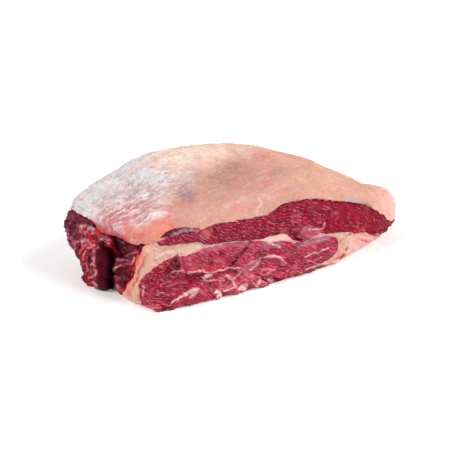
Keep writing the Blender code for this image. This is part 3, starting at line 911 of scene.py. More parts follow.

# %% [markdown]
# ## Marks on the front
# Every vein of fat, smear of blood and silvery membrane is a mark of its own, and so is every hollow darkened
# with painted shade and every painted highlight: a colour, a strength, a brush, its size and its shape on the
# map. They are laid in this order, each over those before it. Painting them by hand in Texture Paint would
# look much the same, but a list can be read, corrected and kept small.

# %% Marks on the strap of lean
FRONT_MARKS = {}
FRONT_MARKS["upper_muscle"] = [
    ("purple", 0.9, patch, 4, [(12, 90), (20, 99), (42, 99), (54, 93), (59, 88), (50, 89), (30, 88)]),
    # painted highlight: a silver line of sheen along the lower edge of the lens
    ("silver and sheen", 0.55, stroke, 1.1, [(22, 91), (34, 92), (50, 92), (57, 89)]),
    ("lilac and sheen", 0.6, stroke, 1.6, [(26, 93), (40, 95), (48, 93)]),
    # painted shade in the notch above the lens
    ("dark", 0.5, stroke, 1.6, [(13, 94), (21, 99), (32, 97)]),
    ("pale", 0.7, stroke, 1.0, [(3, 86), (8, 88), (14, 88)]),
    ("deep red", 0.6, spot, (6, 4), (74, 74)),
    ("deep red", 0.5, spot, (5, 5), (82, 88)),
    # painted shade in a small dent
    ("deep red", 0.6, spot, (5, 4), (137, 86)),
    ("deep red", 0.5, spot, (12, 4), (185, 68)),
    ("pink meat and highlight", 0.45, patch, 6, [(60, 80), (62, 90), (72, 90), (76, 84), (70, 76)]),
    ("rose", 0.75, patch, 5, [(190, 52), (200, 62), (212, 61), (223, 55), (226, 47), (210, 44), (198, 43)]),
    ("pale", 0.9, stroke, 1.0, [(207, 57), (217, 56), (222, 54), (228, 55), (230, 61)]),
    ("lilac and sheen", 0.6, stroke, 1.5, [(196, 56), (204, 60), (212, 56)]),
    # painted shade in the pit beside the nodule
    ("deep red", 0.9, stroke, 2.4, [(179, 59), (188, 56), (190, 49), (197, 44)]),
    # painted highlight: a small bright glint
    ("pink meat and highlight", 0.9, spot, (2.2, 1.6), (245, 72)),
    ("bright red", 0.9, stroke, 1.8, [(268, 39), (274, 41), (282, 39)]),
    ("deep red", 0.5, patch, 14,
     [(230, 89), (262, 82), (300, 62), (328, 40), (322, 30), (300, 52), (262, 72), (230, 80)]),
    ("wine", 0.7, stroke, 1.6, [(302, 28), (312, 25), (322, 25)]),
    ("bright red", 0.6, stroke, 1.8, [(322, 28), (330, 32), (328, 40)]),
    ("pink meat and highlight", 0.5, stroke, 1.2, [(276, 46), (284, 42), (290, 38)]),
]
print(len(FRONT_MARKS["upper_muscle"]), "marks on the strap")

# %% [markdown]
# ## Marks on the thick lean
# Here lie the most marks: the veins of fat that cross the lean, the dark pockets where tissue was pulled away
# and other dents and cracks, all darkened with painted shade, the silvery skin along the seam, a lilac patch
# of painted sheen and the torn white flecks at the foot. Most dark ones come first, so that the veins stay
# bright over them.

# %% Marks on the thick lean
FRONT_MARKS["lower_muscle"] = [
    ("core left red", 0.9, patch, 14,
     [(-22, 34), (-16, 46), (6, 56), (22, 62), (32, 62), (34, 42), (44, 34), (58, 24), (56, 16), (20, 0),
      (-18, 4)]),
    # painted shade in the pocket at the left
    ("burgundy", 0.4, patch, 5,
     [(14, 42), (16, 50), (23, 59), (29, 61), (32, 55), (33, 47), (29, 42), (20, 39)]),
    ("pink meat and highlight", 0.7, stroke, 1.2, [(31, 63), (34, 54), (34, 46), (37, 41)]),
    # painted shade in the pocket under the flap
    ("deep red", 0.8, patch, 8, [(40, 37), (54, 35), (66, 32), (68, 28), (60, 23), (46, 22), (40, 28)]),
    # painted shade in the slit and along its left side
    ("deep red", 0.85, stroke, 4.6, [(97, 35), (103, 41), (110, 46)]),
    ("burgundy", 0.85, stroke, 2.2, [(100, 34), (106, 41), (113, 47), (121, 54), (128, 61)]),
    # painted shade in three small dents
    ("deep red", 0.75, spot, (5.5, 6), (73, 42)),
    ("deep red", 0.65, spot, (3.5, 4), (89, 52)),
    ("burgundy", 0.7, spot, (5, 3.5), (-5, 39)),
    ("deep red", 0.7, spot, (4, 5), (-18, 36)),
    ("deep red", 0.6, patch, 14, [(176, 22), (182, 46), (196, 40), (196, 20)]),
    ("deep red", 0.5, patch, 8, [(66, 28), (70, 12), (82, 8), (84, 20), (100, 28)]),
    # painted shade under the edge of the flap
    ("burgundy", 0.6, stroke, 1.5, [(66, 29), (76, 27), (96, 28), (108, 25)]),
    ("pale", 0.8, stroke, 0.8, [(20, 41), (26, 44), (33, 43), (39, 39)]),
    ("bright red", 0.7, stroke, 2.0, [(42, 40), (54, 39), (66, 36), (78, 34), (94, 34)]),
    ("pale", 0.9, stroke, 1.0, [(44, 38), (54, 37), (63, 37), (67, 33), (76, 31), (96, 31)]),
    ("pale", 0.85, stroke, 1.0,
     [(96, 31), (110, 28), (118, 28), (127, 31), (136, 34), (150, 35), (160, 33), (168, 27), (177, 19)]),
    ("silver and sheen", 0.9, stroke, 1.2, [(150, 34), (160, 32), (168, 27)]),
    ("pale", 0.95, patch, 3, [(60, 26), (66, 30), (77, 29), (74, 26), (64, 24)]),
    ("pale", 0.7, stroke, 0.9, [(63, 23), (72, 20), (80, 20), (90, 16)]),
    ("pale", 0.85, patch, 3,
     [(20, 3), (30, 9), (42, 14), (50, 17), (58, 13), (56, 9), (50, 4), (44, 4), (48, 9), (36, 8)]),
    ("white", 0.7, stroke, 2.0, [(40, 11), (52, 14)]),
    ("white", 0.5, stroke, 1.0, [(22, 5), (34, 9)]),
    ("blood", 0.6, stroke, 0.7, [(26, 4), (38, 10), (50, 12)]),
    ("blood", 0.5, stroke, 0.6, [(30, 9), (42, 13), (54, 15)]),
    ("pale", 0.9, patch, 3, [(76, 3), (80, 7), (86, 4), (88, -5), (80, -5), (82, 1)]),
    ("pink meat and highlight", 0.7, stroke, 1.4, [(84, 20), (90, 22), (98, 21)]),
    ("pink meat and highlight", 0.7, stroke, 1.8, [(105, 16), (101, 8), (92, 5), (84, 7)]),
    ("pink fat", 0.6, stroke, 1.0, [(83, 16), (86, 10), (92, 10), (98, 13)]),
    # painted shade in a small dent
    ("burgundy", 0.8, spot, (2.4, 2.2), (100, 13)),
    ("rose", 0.8, patch, 4, [(110, 24), (124, 17), (133, 23), (140, 31), (138, 35), (124, 30), (112, 28)]),
    ("silver and sheen", 0.8, stroke, 1.5, [(126, 21), (133, 26), (140, 32)]),
    ("pale", 0.9, stroke, 0.9, [(203, 21), (211, 23), (217, 24), (221, 21), (230, 25), (237, 25)]),
    ("pale", 0.5, stroke, 0.9, [(206, 14), (216, 12), (226, 16)]),
    # painted sheen: a lilac patch over the lean
    ("lilac and sheen", 0.75, patch, 6, [(192, 38), (204, 45), (236, 45), (244, 40), (226, 36), (206, 36)]),
    ("lilac and sheen", 0.5, patch, 8, [(60, 64), (90, 66), (128, 60), (126, 55), (96, 60), (64, 60)]),
    ("lilac and sheen", 0.55, patch, 8, [(140, 55), (170, 50), (166, 44), (146, 46)]),
    ("pale", 0.7, stroke, 1.0, [(150, 52), (160, 47), (168, 44)]),
    # painted shade in two cracks at the foot
    ("black red", 0.9, stroke, 2.2, [(158, 3), (164, -1), (172, -4)]),
    ("burgundy", 0.9, stroke, 1.6, [(143, 8), (148, 1)]),
    ("pale", 0.8, stroke, 1.2, [(112, 1), (118, -2)]),
    ("pale", 0.7, stroke, 1.2, [(131, 2), (137, -4)]),
    ("pale", 0.7, stroke, 1.2, [(150, 4), (157, -2)]),
    ("pink fat", 0.7, stroke, 1.0, [(142, 16), (148, 18), (160, 14), (150, 11)]),
    ("bright red", 0.6, stroke, 2.0, [(-12, 8), (0, 5), (8, 4)]),
    ("pale", 0.8, stroke, 1.5, [(94, 21), (101, 16), (104, 10), (108, 5)]),
    ("cream", 0.7, stroke, 1.8, [(103, 15), (109, 19), (117, 23)]),
    ("pale", 0.8, stroke, 1.1, [(90, 3), (98, 2), (106, 5)]),
    ("pale", 0.8, patch, 3, [(110, 0), (116, 5), (124, 3), (120, -5)]),
    ("pale", 0.7, patch, 2, [(134, 3), (140, 6), (142, 0), (137, -4)]),
    ("pink fat", 0.7, stroke, 1.2, [(118, 10), (126, 13), (134, 11)]),
    ("pink meat and highlight", 0.8, stroke, 0.9, [(-16, 11), (-6, 6), (4, 4)]),
    ("pale", 0.7, stroke, 0.7, [(-12, 6), (-2, 2), (8, 0)]),
    ("pink meat and highlight", 0.7, stroke, 0.9, [(-10, 16), (4, 11), (12, 6)]),
    ("pale", 0.6, stroke, 0.7, [(0, 22), (10, 19), (18, 14)]),
    ("pink meat and highlight", 0.6, stroke, 0.8, [(20, 26), (32, 28), (40, 26)]),
    ("pale", 0.5, stroke, 0.7, [(8, 30), (16, 32), (22, 31)]),
    # painted shade along the bottom edge, where the meat meets the table
    ("dark", 0.7, stroke, 2.0, [(0, 1), (10, -2), (22, -1)]),
    ("pale", 0.6, stroke, 0.9, [(-15, 22), (-12, 32), (-14, 36)]),
    ("bright red", 0.4, stroke, 2.5, [(160, 5), (176, 3)]),
]
print(len(FRONT_MARKS["lower_muscle"]), "marks on the thick lean")

# %% [markdown]
# ## Marks on the seam fat
# The fat between the muscles is cream, with pale and pink runs, and blood has gathered in its cracks towards
# the tail at the right. The same brushes lay all of it. Strokes are worn away here and there, so that the
# blood looks smeared and not drawn.

# %% Marks on the seam fat
FRONT_MARKS["seam_fat"] = [
    ("pale", 0.8, stroke, 2.0, [(72, 66), (100, 64), (128, 61), (142, 59)]),
    ("pink meat and highlight", 0.45, stroke, 2.0, [(100, 64), (128, 61), (142, 59)]),
    ("pale", 0.8, patch, 6, [(140, 62), (180, 62), (192, 52), (160, 50), (140, 56)]),
    ("pink meat and highlight", 0.7, stroke, 2.2, [(184, 52), (196, 44), (210, 45), (226, 46)]),
    ("white", 0.3, stroke, 3.0, [(-6, 66), (14, 70), (40, 69), (60, 70)]),
    ("wine", 0.3, stroke, 0.6, [(-4, 62), (12, 67), (34, 68), (56, 69)]),
    ("brown", 0.5, stroke, 0.8, [(4, 60), (16, 64), (26, 68)]),
    ("wine", 0.3, stroke, 0.6, [(-6, 54), (0, 66), (10, 74), (30, 76)]),
    ("pink fat", 0.5, stroke, 1.2, [(-8, 60), (-4, 76), (2, 84)]),
    ("pale", 0.8, patch, 20, [(264, 35), (280, 34), (300, 33), (300, 20), (286, 12), (266, 14)]),
    ("pink fat", 0.5, patch, 8, [(268, 30), (286, 32), (300, 29), (296, 20), (276, 18)]),
    ("blood", 0.95, patch, 3, [(246, 8), (254, 10), (260, 13), (263, 9), (257, 6)]),
    ("blood", 0.95, stroke, 1.5, [(266, 38), (272, 41), (276, 38)]),
    ("deep red", 0.7, stroke, 1.4, [(274, 36), (282, 37), (288, 35)]),
    ("blood", 0.8, stroke, 1.4, [(253, 29), (256, 34)]),
    ("blood", 0.8, spot, (2, 2.6), (264, 18)),
    ("blood", 0.75, stroke, 1.3, [(284, 25), (292, 23), (298, 20)]),
    ("blood", 0.6, stroke, 1.3, [(290, 31), (300, 29), (312, 26)]),
    ("deep red", 0.95, patch, 4, [(160, -8), (160, 4), (200, 4), (216, 3), (230, 3), (254, 0), (256, -8)]),
    ("pale", 0.9, stroke, 1.4, [(203, 4), (214, 6), (226, 7), (240, 5), (254, 3)]),
    ("blood", 0.7, stroke, 1.2, [(240, 4), (246, 8)]),
    ("wine", 0.7, stroke, 2.4, [(300, 32), (314, 26), (324, 24)]),
]
print("marks on the front:", {name: len(marks) for name, marks in FRONT_MARKS.items()})

# %% [markdown]
# ## Marks on the left end
# The end is dark and wet. Its marks are the creases and the hollow under the cap, blackened with painted
# shade, the dried lobe, pink and lilac strands past it, painted highlights on the strands, the flap and the
# ridges, and pale fat rolled down the corner. They lie on the end's own map, so that they follow its folds.

# %% Marks on the left end
END_MARKS = {
    "seam_fat": [
        ("strip", 1.0, stroke, 4.4, [(20, 70), (25, 50), (31, 32), (41, 13)]),
        ("blood", 0.9, stroke, 2.4, [(26, 64), (31, 46), (38, 30), (46, 16)]),
        ("pale", 0.5, stroke, 1.0, [(19, 60), (26, 42), (33, 26), (37, 16)]),
        ("cream", 0.9, stroke, 3.0, [(9, 64), (17, 46), (25, 30), (28, 14), (30, 4)]),
        ("blood", 0.8, stroke, 1.0, [(14, 66), (20, 48), (27, 32), (32, 20)]),
        # painted shade in a small crease of the rolled fat
        ("wine", 0.6, stroke, 0.9, [(22, 16), (24, 4)]),
        ("strip", 0.6, stroke, 2.0, [(33, 16), (36, 9)]),
    ],
    "end_muscle": [
        ("purple", 0.9, patch, 5, [(84, 94), (134, 98), (142, 86), (138, 79), (96, 80), (86, 84)]),
        ("purple", 0.6, patch, 14, [(114, 80), (144, 82), (142, 60), (128, 36), (116, 22), (116, 50)]),
        ("lobe red", 0.7, patch, 6,
         [(24, 66), (34, 74), (44, 70), (44, 56), (62, 52), (63, 32), (46, 34), (30, 42)]),
        ("blood", 0.35, patch, 8, [(20, 72), (24, 58), (34, 36), (40, 28), (38, 44), (30, 58), (26, 74)]),
        ("blood", 0.75, patch, 5, [(55, 58), (58, 71), (66, 74), (70, 67), (66, 60)]),
        ("wine", 0.6, patch, 5, [(66, 62), (68, 74), (78, 76), (86, 70), (80, 63)]),
        ("burgundy", 0.9, patch, 7,
         [(89, 0), (90, 30), (88, 50), (82, 61), (74, 63), (66, 57), (62, 46), (64, 20), (66, 2)]),
        # painted shade: black in the crease beside the lobe
        ("black red", 0.97, patch, 7, [(60, 46), (64, 58), (68, 46), (71, 26), (76, 4), (62, 4), (62, 26)]),
        # painted shade in the hollow under the cap
        ("burgundy", 0.9, patch, 6, [(44, 75), (58, 76), (56, 64), (60, 54), (48, 54), (43, 64)]),
        ("burgundy", 0.6, patch, 8, [(36, 32), (50, 34), (62, 28), (62, 20), (46, 20), (38, 24)]),
        ("blood", 0.85, spot, (5, 4.5), (50, 11)),
        # painted highlight on the red blob
        ("lilac and sheen", 0.6, spot, (1.8, 3), (57, 13)),
        ("pink fat", 0.7, stroke, 1.2, [(40, 9), (44, 8), (47, 5)]),
        # painted highlights: two bands of sheen over the strands
        ("silver and sheen", 0.8, stroke, 2.0, [(91, 77), (101, 79), (112, 75)]),
        ("pale", 0.6, stroke, 0.9, [(93, 80), (103, 81), (112, 78)]),
        ("silver and sheen", 0.75, stroke, 1.8, [(96, 58), (104, 61), (110, 57)]),
        ("pale", 0.6, stroke, 0.9, [(99, 61), (106, 62)]),
        ("lilac and sheen", 0.6, stroke, 1.4, [(98, 72), (104, 68), (112, 70)]),
        ("bright red", 0.8, spot, (3, 4), (96, 69)),
        ("bright red", 0.8, spot, (3, 3), (97, 63)),
        ("bright red", 0.8, stroke, 3.0, [(101, 56), (109, 48), (113, 38), (109, 27)]),
        ("pink meat and highlight", 0.8, stroke, 1.4, [(103, 55), (111, 47), (115, 38)]),
        ("pink meat and highlight", 0.7, stroke, 1.6, [(98, 52), (104, 42), (106, 32), (102, 20)]),
        ("pale", 0.6, stroke, 0.9, [(106, 46), (110, 36), (108, 28)]),
        ("bright red", 0.6, stroke, 2.0, [(88, 24), (91, 14)]),
        ("pale", 0.7, stroke, 0.9, [(89, 23), (92, 16)]),
        ("silver and sheen", 0.8, stroke, 1.4, [(90, 5), (97, 5)]),
        ("bright red", 0.6, stroke, 2.4, [(94, 2), (104, 8), (102, 14)]),
        ("pale", 0.6, stroke, 1.0, [(99, 11), (104, 9)]),
        ("pink meat and highlight", 0.7, stroke, 1.4, [(84, 57), (92, 52), (91, 42), (92, 28)]),
        ("pink meat and highlight", 0.6, stroke, 1.0, [(98, 30), (99, 14)]),
        ("bright red", 0.8, stroke, 2.2, [(83, 79), (85, 74), (82, 71)]),
        # painted highlights on the flap over the lobe
        ("lilac and sheen", 0.7, stroke, 1.4, [(64, 70), (72, 72), (80, 69)]),
        ("pale", 0.6, stroke, 0.8, [(66, 66), (74, 65)]),
        # painted sheen and glints along the crests of the ridged lean
        ("wine", 0.6, stroke, 2.6, [(28, 57), (31, 52), (40, 47), (50, 44), (57, 39)]),
        ("pink meat and highlight", 0.6, stroke, 1.0, [(32, 50), (40, 47)]),
        ("pale", 0.7, stroke, 0.9, [(50, 43), (56, 39), (62, 33)]),
        ("lilac and sheen", 0.6, stroke, 1.4, [(38, 53), (47, 51), (56, 48)]),
        ("pink meat and highlight", 0.6, stroke, 1.0, [(24, 68), (32, 64), (40, 58)]),
        ("pale", 0.6, stroke, 0.8, [(28, 60), (32, 52)]),
        ("pink meat and highlight", 0.6, stroke, 1.0, [(44, 75), (50, 74), (54, 76)]),
        ("wine", 0.6, stroke, 2.2, [(40, 26), (48, 28), (58, 24)]),
    ],
}
print("marks on the left end:", {name: len(marks) for name, marks in END_MARKS.items()})

# %% [markdown]
# ## Marks on the cap
# The cap is nearly all pale, so its marks are wide and soft: bruises of red, violet and brown, gold towards
# the nose, and white where the membrane is folded. The bluish ones are like smudged ink and carry no sign.
# They lie on a plan map, looked at from above.

# %% Marks on the cap
CAP_MARKS = [
    ("cap red", 0.7, patch, 16, [(10, -6), (8, 10), (26, 24), (40, 20), (36, -4)]),
    ("white", 0.8, stroke, 4.0, [(-20, 22), (0, 27), (16, 28), (26, 25)]),
    ("wine", 0.55, patch, 26, [(-52, 40), (-30, 84), (6, 78), (14, 44), (-6, 36), (-20, 34)]),
    ("cap red", 0.4, patch, 16, [(28, 20), (30, 40), (60, 44), (92, 42), (90, 34)]),
    ("violet", 0.95, patch, 14, [(56, 42), (62, 62), (78, 66), (82, 52), (70, 40)]),
    ("brown", 0.55, patch, 12, [(0, 82), (6, 96), (32, 98), (38, 84), (20, 80)]),
    ("violet", 0.45, patch, 10, [(-22, 94), (-14, 104), (2, 104), (2, 94)]),
    ("brown", 0.4, patch, 14, [(104, 50), (108, 66), (134, 66), (130, 50)]),
    ("violet", 0.35, patch, 16, [(120, 64), (126, 88), (148, 86), (146, 64)]),
    ("brown", 0.4, patch, 26, [(84, 40), (90, 70), (150, 92), (170, 60), (140, 36)]),
    ("cap red", 0.8, patch, 16, [(176, 80), (184, 100), (202, 98), (206, 80), (194, 72)]),
    ("cap red", 0.7, stroke, 5.0, [(186, 58), (174, 44), (164, 28)]),
    ("violet", 0.4, patch, 14, [(176, 40), (186, 62), (208, 62), (208, 44)]),
    ("violet", 0.4, spot, (8, 4), (188, 17)),
    ("white", 0.15, stroke, 2.0, [(100, 20), (128, 21), (146, 20), (158, 24)]),
    ("cap red", 0.45, stroke, 3.0, [(110, 14), (130, 10), (150, 14)]),
    ("white", 0.3, stroke, 1.5, [(133, 2), (141, 6), (146, 12)]),
    ("blue grey", 0.75, patch, 8, [(260, 0), (266, 10), (286, 14), (292, 8), (280, -2)]),
    ("ink", 0.7, patch, 4, [(60, 150), (66, 172), (84, 172), (82, 150)]),
    ("ink", 0.45, patch, 8, [(24, 142), (34, 150), (60, 152), (58, 144)]),
    ("ink", 0.4, patch, 6, [(18, 134), (22, 142), (28, 142), (26, 134)]),
    ("cap red", 0.6, stroke, 4.0, [(196, 146), (212, 142), (236, 130)]),
    ("cap gold", 0.6, patch, 40, [(215, 20), (225, 75), (300, 90), (330, 60), (300, 24)]),
    ("cap gold", 0.4, patch, 40, [(120, 100), (130, 150), (190, 160), (200, 110)]),
    ("cap red", 0.35, patch, 14, [(300, 0), (340, 22), (346, 12), (320, -8)]),
]
print(len(CAP_MARKS), "marks on the cap")

# %% [markdown]
# ## Ground of the cap
# Under its marks the cap is pale grey and pink at the left, where the membrane lies over it, tan in the
# middle, peach to the right, and palest along the crest and at the nose. Over the marks go the membrane's
# whitened folds, red and brown painted shade in its creases, the clean mound at the corner, and the rim of
# the hem, red with blood and with painted shade under it. Last come fine mottling, stippling and faint
# strands, which keep so large and pale a surface from looking like wax.

# %% Tint of the cap
def cap_ground(points, spread_out):
    plan, front = points[:, :2], on_front(points)
    pinker = 0.65 * (1 - eased(plan[:, 1], 40, 95)) + 0.3 * cloud(spread_out, 12, 60)
    tint = laid(COLOURS["cap left"], "cap left pink", pinker)
    past = plan[:, 0] - 0.9 * plan[:, 1] + 22 * cloud(spread_out, 26, 61) + 8 * cloud(spread_out, 8, 68)
    tint = laid(tint, "cap middle", eased(past, -45, 50))
    tint = laid(tint, "cap right", eased(plan[:, 0], 140, 220))
    tint = laid(tint, "cap nose", 0.7 * eased(front[:, 0], 285, 330))
    crest = eased(plan[:, 1], 70, 120) * eased(plan[:, 0], 30, 85) * (1 - eased(plan[:, 0], 150, 260))
    return laid(tint, "cap crest", 0.95 * crest)


def with_membrane_and_crease_shade(tint, plan, skin):
    """White on the puffed skin, and red and brown painted shade in the creases."""
    puffed = puckered(plan) * (1 - 0.45 * eased(plan[:, 1], 60, 105))
    tint = laid(tint, "white", 0.5 * puffed * eased(skin, 0.45, 0.9))
    # painted shade: wine and brown where the skin sinks into a crease
    tint = laid(tint, "cap wine", 0.75 * spot(plan, (44, 32), (-18, 50)) * eased(0.72 - skin, 0, 0.5))
    return laid(tint, "brown", 0.7 * puffed * eased(0.34 - skin, 0, 0.3))


def with_mottling(tint, plan, spread_out):
    """Reddish and brownish clouds, blood stippling in the bruised places, and faint white strands."""
    reddish = eased(cloud(spread_out, 9, 63) + 0.5 * cloud(spread_out, 3, 66), 0.2, 1.0)
    brownish = eased(cloud(spread_out, 16, 88) + 0.6 * cloud(spread_out, 6, 89), 0.1, 1.1)
    tint = laid(laid(tint, "cap red", 0.25 * reddish), "brown", 0.2 * brownish)
    bruises = [((24, 20), (72, 56)), ((30, 20), (130, 70)), ((24, 16), (16, 90))]
    bruised = np.minimum(0.25 + sum(spot(plan, radii, middle) for radii, middle in bruises), 1)
    stipple = eased(cloud(spread_out, 2.0, 94) + 0.7 * cloud(spread_out, 9, 95), 0.3, 1.2)
    tint = laid(tint, "stain", 0.55 * bruised * stipple)
    strands = cloud(bent(spread_out, 0.35), np.array([26, 3]), 96) + 0.6 * cloud(spread_out, 14, 98)
    return laid(tint, "white", 0.14 * eased(strands, 0.35, 1.1))


def cap_tint(points):
    plan, end, spread_out = points[:, :2], on_end(points), unrolled(points)
    tint = painted(cap_ground(points, spread_out), plan, CAP_MARKS, 3, 0.3, 0.6)
    tint = with_membrane_and_crease_shade(tint, plan, cap_skin)
    mound = patch(ragged(plan, 2, 9), 13, MOUND)
    tint = laid(tint, "orange fat", mound * (0.85 + 0.15 * cloud(spread_out, 6, 62)))
    # the rim just over the hem on the left end: blood, and painted shade under the rim
    over_hem = over(end, HEM_ON_END) + 3 * cloud(end, 6, 69)
    rim = (1 - eased(over_hem, 2, 11)) * eased(end[:, 0], 30, 44) * (1 - eased(end[:, 0], 84, 100))
    tint = with_mottling(laid(tint, "blood", 0.85 * rim), plan, spread_out)
    low = (1 - eased(plan[:, 1], 12, 42)) * eased(plan[:, 0], 36, 60) * (1 - eased(plan[:, 0], 140, 190))
    light = 1.05 + 0.10 * low + 0.07 * cloud(spread_out, 18, 64) + 0.05 * cloud(spread_out, 3.5, 65)
    return tint * light[:, None]


print("the mound covers", patch(points_of(cap)[:, :2], 13, MOUND).mean().round(3), "of the cap")

# %% [markdown]
# ## Grounds of the lean
# The strap under the cap is a deep red, the thick lean below is brighter and cloudier, and the folded end is
# a dark burgundy with wet red strands at the far side and a painted highlight of rose along the crests of its
# ridges. Fine streaks run along the grain in each. Marbling shows only where the lean is plain, so it fades
# where the marks have changed the tint.

# %% Tint of the lean
def upper_ground(front, grain):
    x = front[:, 0] + 10 * cloud(front, 20, 72)
    tint = laid(COLOURS["upper left red"], "upper red", eased(x, 40, 110))
    tint = laid(tint, "upper right red", eased(x, 180, 280))
    rosy = eased(cloud(front, 8, 74) + 0.8 * cloud(grain, 3, 82), 0.3, 1.3)
    return laid(tint, "rose", 0.4 * rosy), 0.7 - 0.45 * eased(x, 190, 280)


def lower_ground(front, grain):
    deep = np.clip(0.4 + 0.5 * cloud(front, 14, 73) + 0.4 * cloud(grain, 5, 85), 0, 1)
    rosy = eased(cloud(front, 9, 74) + 0.8 * cloud(grain, 3, 82), 0.15, 1.2)
    return laid(laid(COLOURS["core red"], "deep red", deep), "rose", 0.75 * rosy), 0.9


def seam_ground(front):
    tint = laid(COLOURS["cream"], "pink fat", 0.35 * eased(cloud(front, 7, 75), 0, 0.9))
    return laid(tint, "white", 0.3 * eased(cloud(front, 4, 76), 0.2, 0.9)), 0


def end_ground(end):
    strands = cloud(bent(end, -1.2), np.array([9, 3.2]), 33)
    ridges = cloud(bent(end, -0.6), np.array([12, 4]), 35)
    ridges = ridges + eased(end[:, 0], 80, 92) * (strands - ridges)
    tint = laid(COLOURS["burgundy"], "lobe red", 0.2 + 0.8 * eased(ridges, -0.4, 0.6))
    beyond_lobe = eased(end[:, 0], 86, 93)
    bloody = (0.2 + 0.6 * eased(strands, 0, 0.7)) * (1 - eased(end[:, 0], 113, 126))
    tint = laid(tint, "blood", beyond_lobe * bloody)
    strand_pink = laid(COLOURS["pink meat and highlight"], "lilac and sheen", 0.4)
    tint = mixed(tint, strand_pink, eased(cloud(end, 3, 79) + strands, 0.3, 1.0) * beyond_lobe)
    # painted highlight: rose on the crests of the ridges
    crest_highlight = eased(cloud(end, 2.6, 97) + ridges, 0.85, 1.4)
    return laid(tint, "rose", 0.6 * crest_highlight * (1 - beyond_lobe)), 0


def lean_tint(name, points):
    """The tint of a piece of lean or seam fat, and how much marbling it has."""
    front, end = on_front(points), on_end(points)
    streaks = 0.03 if name == "seam_fat" else 0.34
    if name == "end_muscle":
        ground, marbling_and_crease_shade = end_ground(end)
    elif name == "seam_fat":
        ground, marbling_and_crease_shade = seam_ground(front)
    else:
        ground_of = upper_ground if name == "upper_muscle" else lower_ground
        ground, marbling_and_crease_shade = ground_of(front, grain_lines(front) * np.array([0.35, 1]))
    tint_front = painted(ground, front, FRONT_MARKS.get(name, []), 1.2, 0.4)
    tint_end = painted(ground, end, END_MARKS.get(name, []), 1.6, 0.6)
    on_the_front = eased(front[:, 0], -4, 4) if name == "seam_fat" else float(name != "end_muscle")
    tint = mixed(tint_end, tint_front, on_the_front)
    unmarked = 1 - eased(abs(tint.mean(axis=1) - ground.mean(axis=1)), 0.02, 0.15)
    fine = streaks * cloud(grain_lines(front), np.array([14, 1.5]), 71) + 0.5 * streaks * cloud(points, 3, 78)
    return tint * (1 + fine)[:, None], marbling_and_crease_shade * unmarked


print("ground of the end at the corner:", end_ground(np.zeros((1, 2)))[0].round(3))

# %% [markdown]
# ## Painting the pieces
# Each point keeps its tint, its place along the grain, how much marbling it may show, or on the cap how much
# painted shade its fine creases get, and how wet it is. An image texture could hold all this too, but it
# needs a UV map, which is hard to lay over torn meat. As attributes they stay on the points, and any material
# can read them.

# %% Paint every piece
def wetness(name, points):
    """How wet the surface is, as a share of its finish's film. The smooth lobe of the end has dried."""
    if name != "end_muscle":
        return np.ones(len(points))
    end = on_end(points)
    dry = patch(end, 8, [(89, -4), (90, 40), (86, 54), (76, 62), (62, 50), (62, -4)])
    return (1 - 0.9 * dry) * (0.35 + 0.65 * eased(cloud(end, 5, 86) + cloud(end, 14, 87), -0.5, 0.6))


def stored(piece, name, kind, key, values):
    attribute = piece.data.attributes.new(name, kind, "POINT")
    attribute.data.foreach_set(key, np.asarray(values, np.float32).ravel())


for name, piece in pieces.items():
    points = points_of(piece)
    if name == "fat_cap":
        # on the cap, how puckered the skin is sets the share of painted crease shade
        tint, marbling_and_crease_shade = cap_tint(points), puckered(points[:, :2])
        along = bent(unrolled(points), CREASE_SLOPE)
    else:
        tint, marbling_and_crease_shade = lean_tint(name, points)
        along = bent(on_end(points), -1.2) if name == "end_muscle" else grain_lines(on_front(points))
    stored(piece, "tint", "FLOAT_COLOR", "color", np.column_stack([np.clip(tint, 0, 1), np.ones(len(tint))]))
    stored(piece, "grain", "FLOAT_VECTOR", "vector", np.column_stack([along, np.zeros(len(along))]))
    stored(piece, "marbling_and_crease_shade", "FLOAT", "value", marbling_and_crease_shade)
    stored(piece, "wetness", "FLOAT", "value", wetness(name, points))
    print(name, "mean tint", tint.mean(axis=0).round(3))

# %% [markdown]
# ## Trees of nodes
# A material is a tree of nodes, and so is a scattering of threads. Trees are usually wired by hand in the
# node editor. A few helpers make them as short in code: each adds a node and connects what is given to it.

# %% Node helpers
def wired(tree, kind, inputs=(), **settings):
    """A node with its settings and inputs given. An input is a value or another node's output."""
    node = tree.nodes.new(kind)
    for key, value in settings.items():
        setattr(node, key, value)
    for key, value in dict(inputs).items():
        if isinstance(value, bpy.types.NodeSocket):
            tree.links.new(value, node.inputs[key])
        else:
            node.inputs[key].default_value = value
    return node


def spread(tree, value, low, high, to_low, to_high):
    """A value's range from low to high, mapped to another range."""
    inputs = {"Value": value, "From Min": low, "From Max": high, "To Min": to_low, "To Max": to_high}
    return wired(tree, "ShaderNodeMapRange", inputs).outputs[0]


def times(tree, first, second):
    """The product of two values."""
    return wired(tree, "ShaderNodeMath", {0: first, 1: second}, operation="MULTIPLY").outputs[0]


def noise(tree, places, scale, detail, roughness):
    inputs = {"Vector": places, "Scale": scale, "Detail": detail, "Roughness": roughness}
    return wired(tree, "ShaderNodeTexNoise", inputs).outputs["Fac"]


def stored_value(tree, name, output="Fac"):
    """What the points of the piece hold under this name."""
    return wired(tree, "ShaderNodeAttribute", attribute_name=name).outputs[output]


print("node helpers:", ", ".join(helper.__name__ for helper in (wired, spread, times, noise, stored_value)))

# %% [markdown]
# ## Wet flesh
# Flesh lets light in, scatters it and sends it back redder, so its shadows are never hard. Over that lies a
# thin film of moisture that gives small sharp glints. A Principled shader does both: subsurface for the body
# and a coat for the film. Fine noise stretched along the grain splits the tint into fibres.

# %% Flesh material
GRIT_SCALE = 420  # lumps per metre, for the finest roughness
WATER_IOR = 1.33


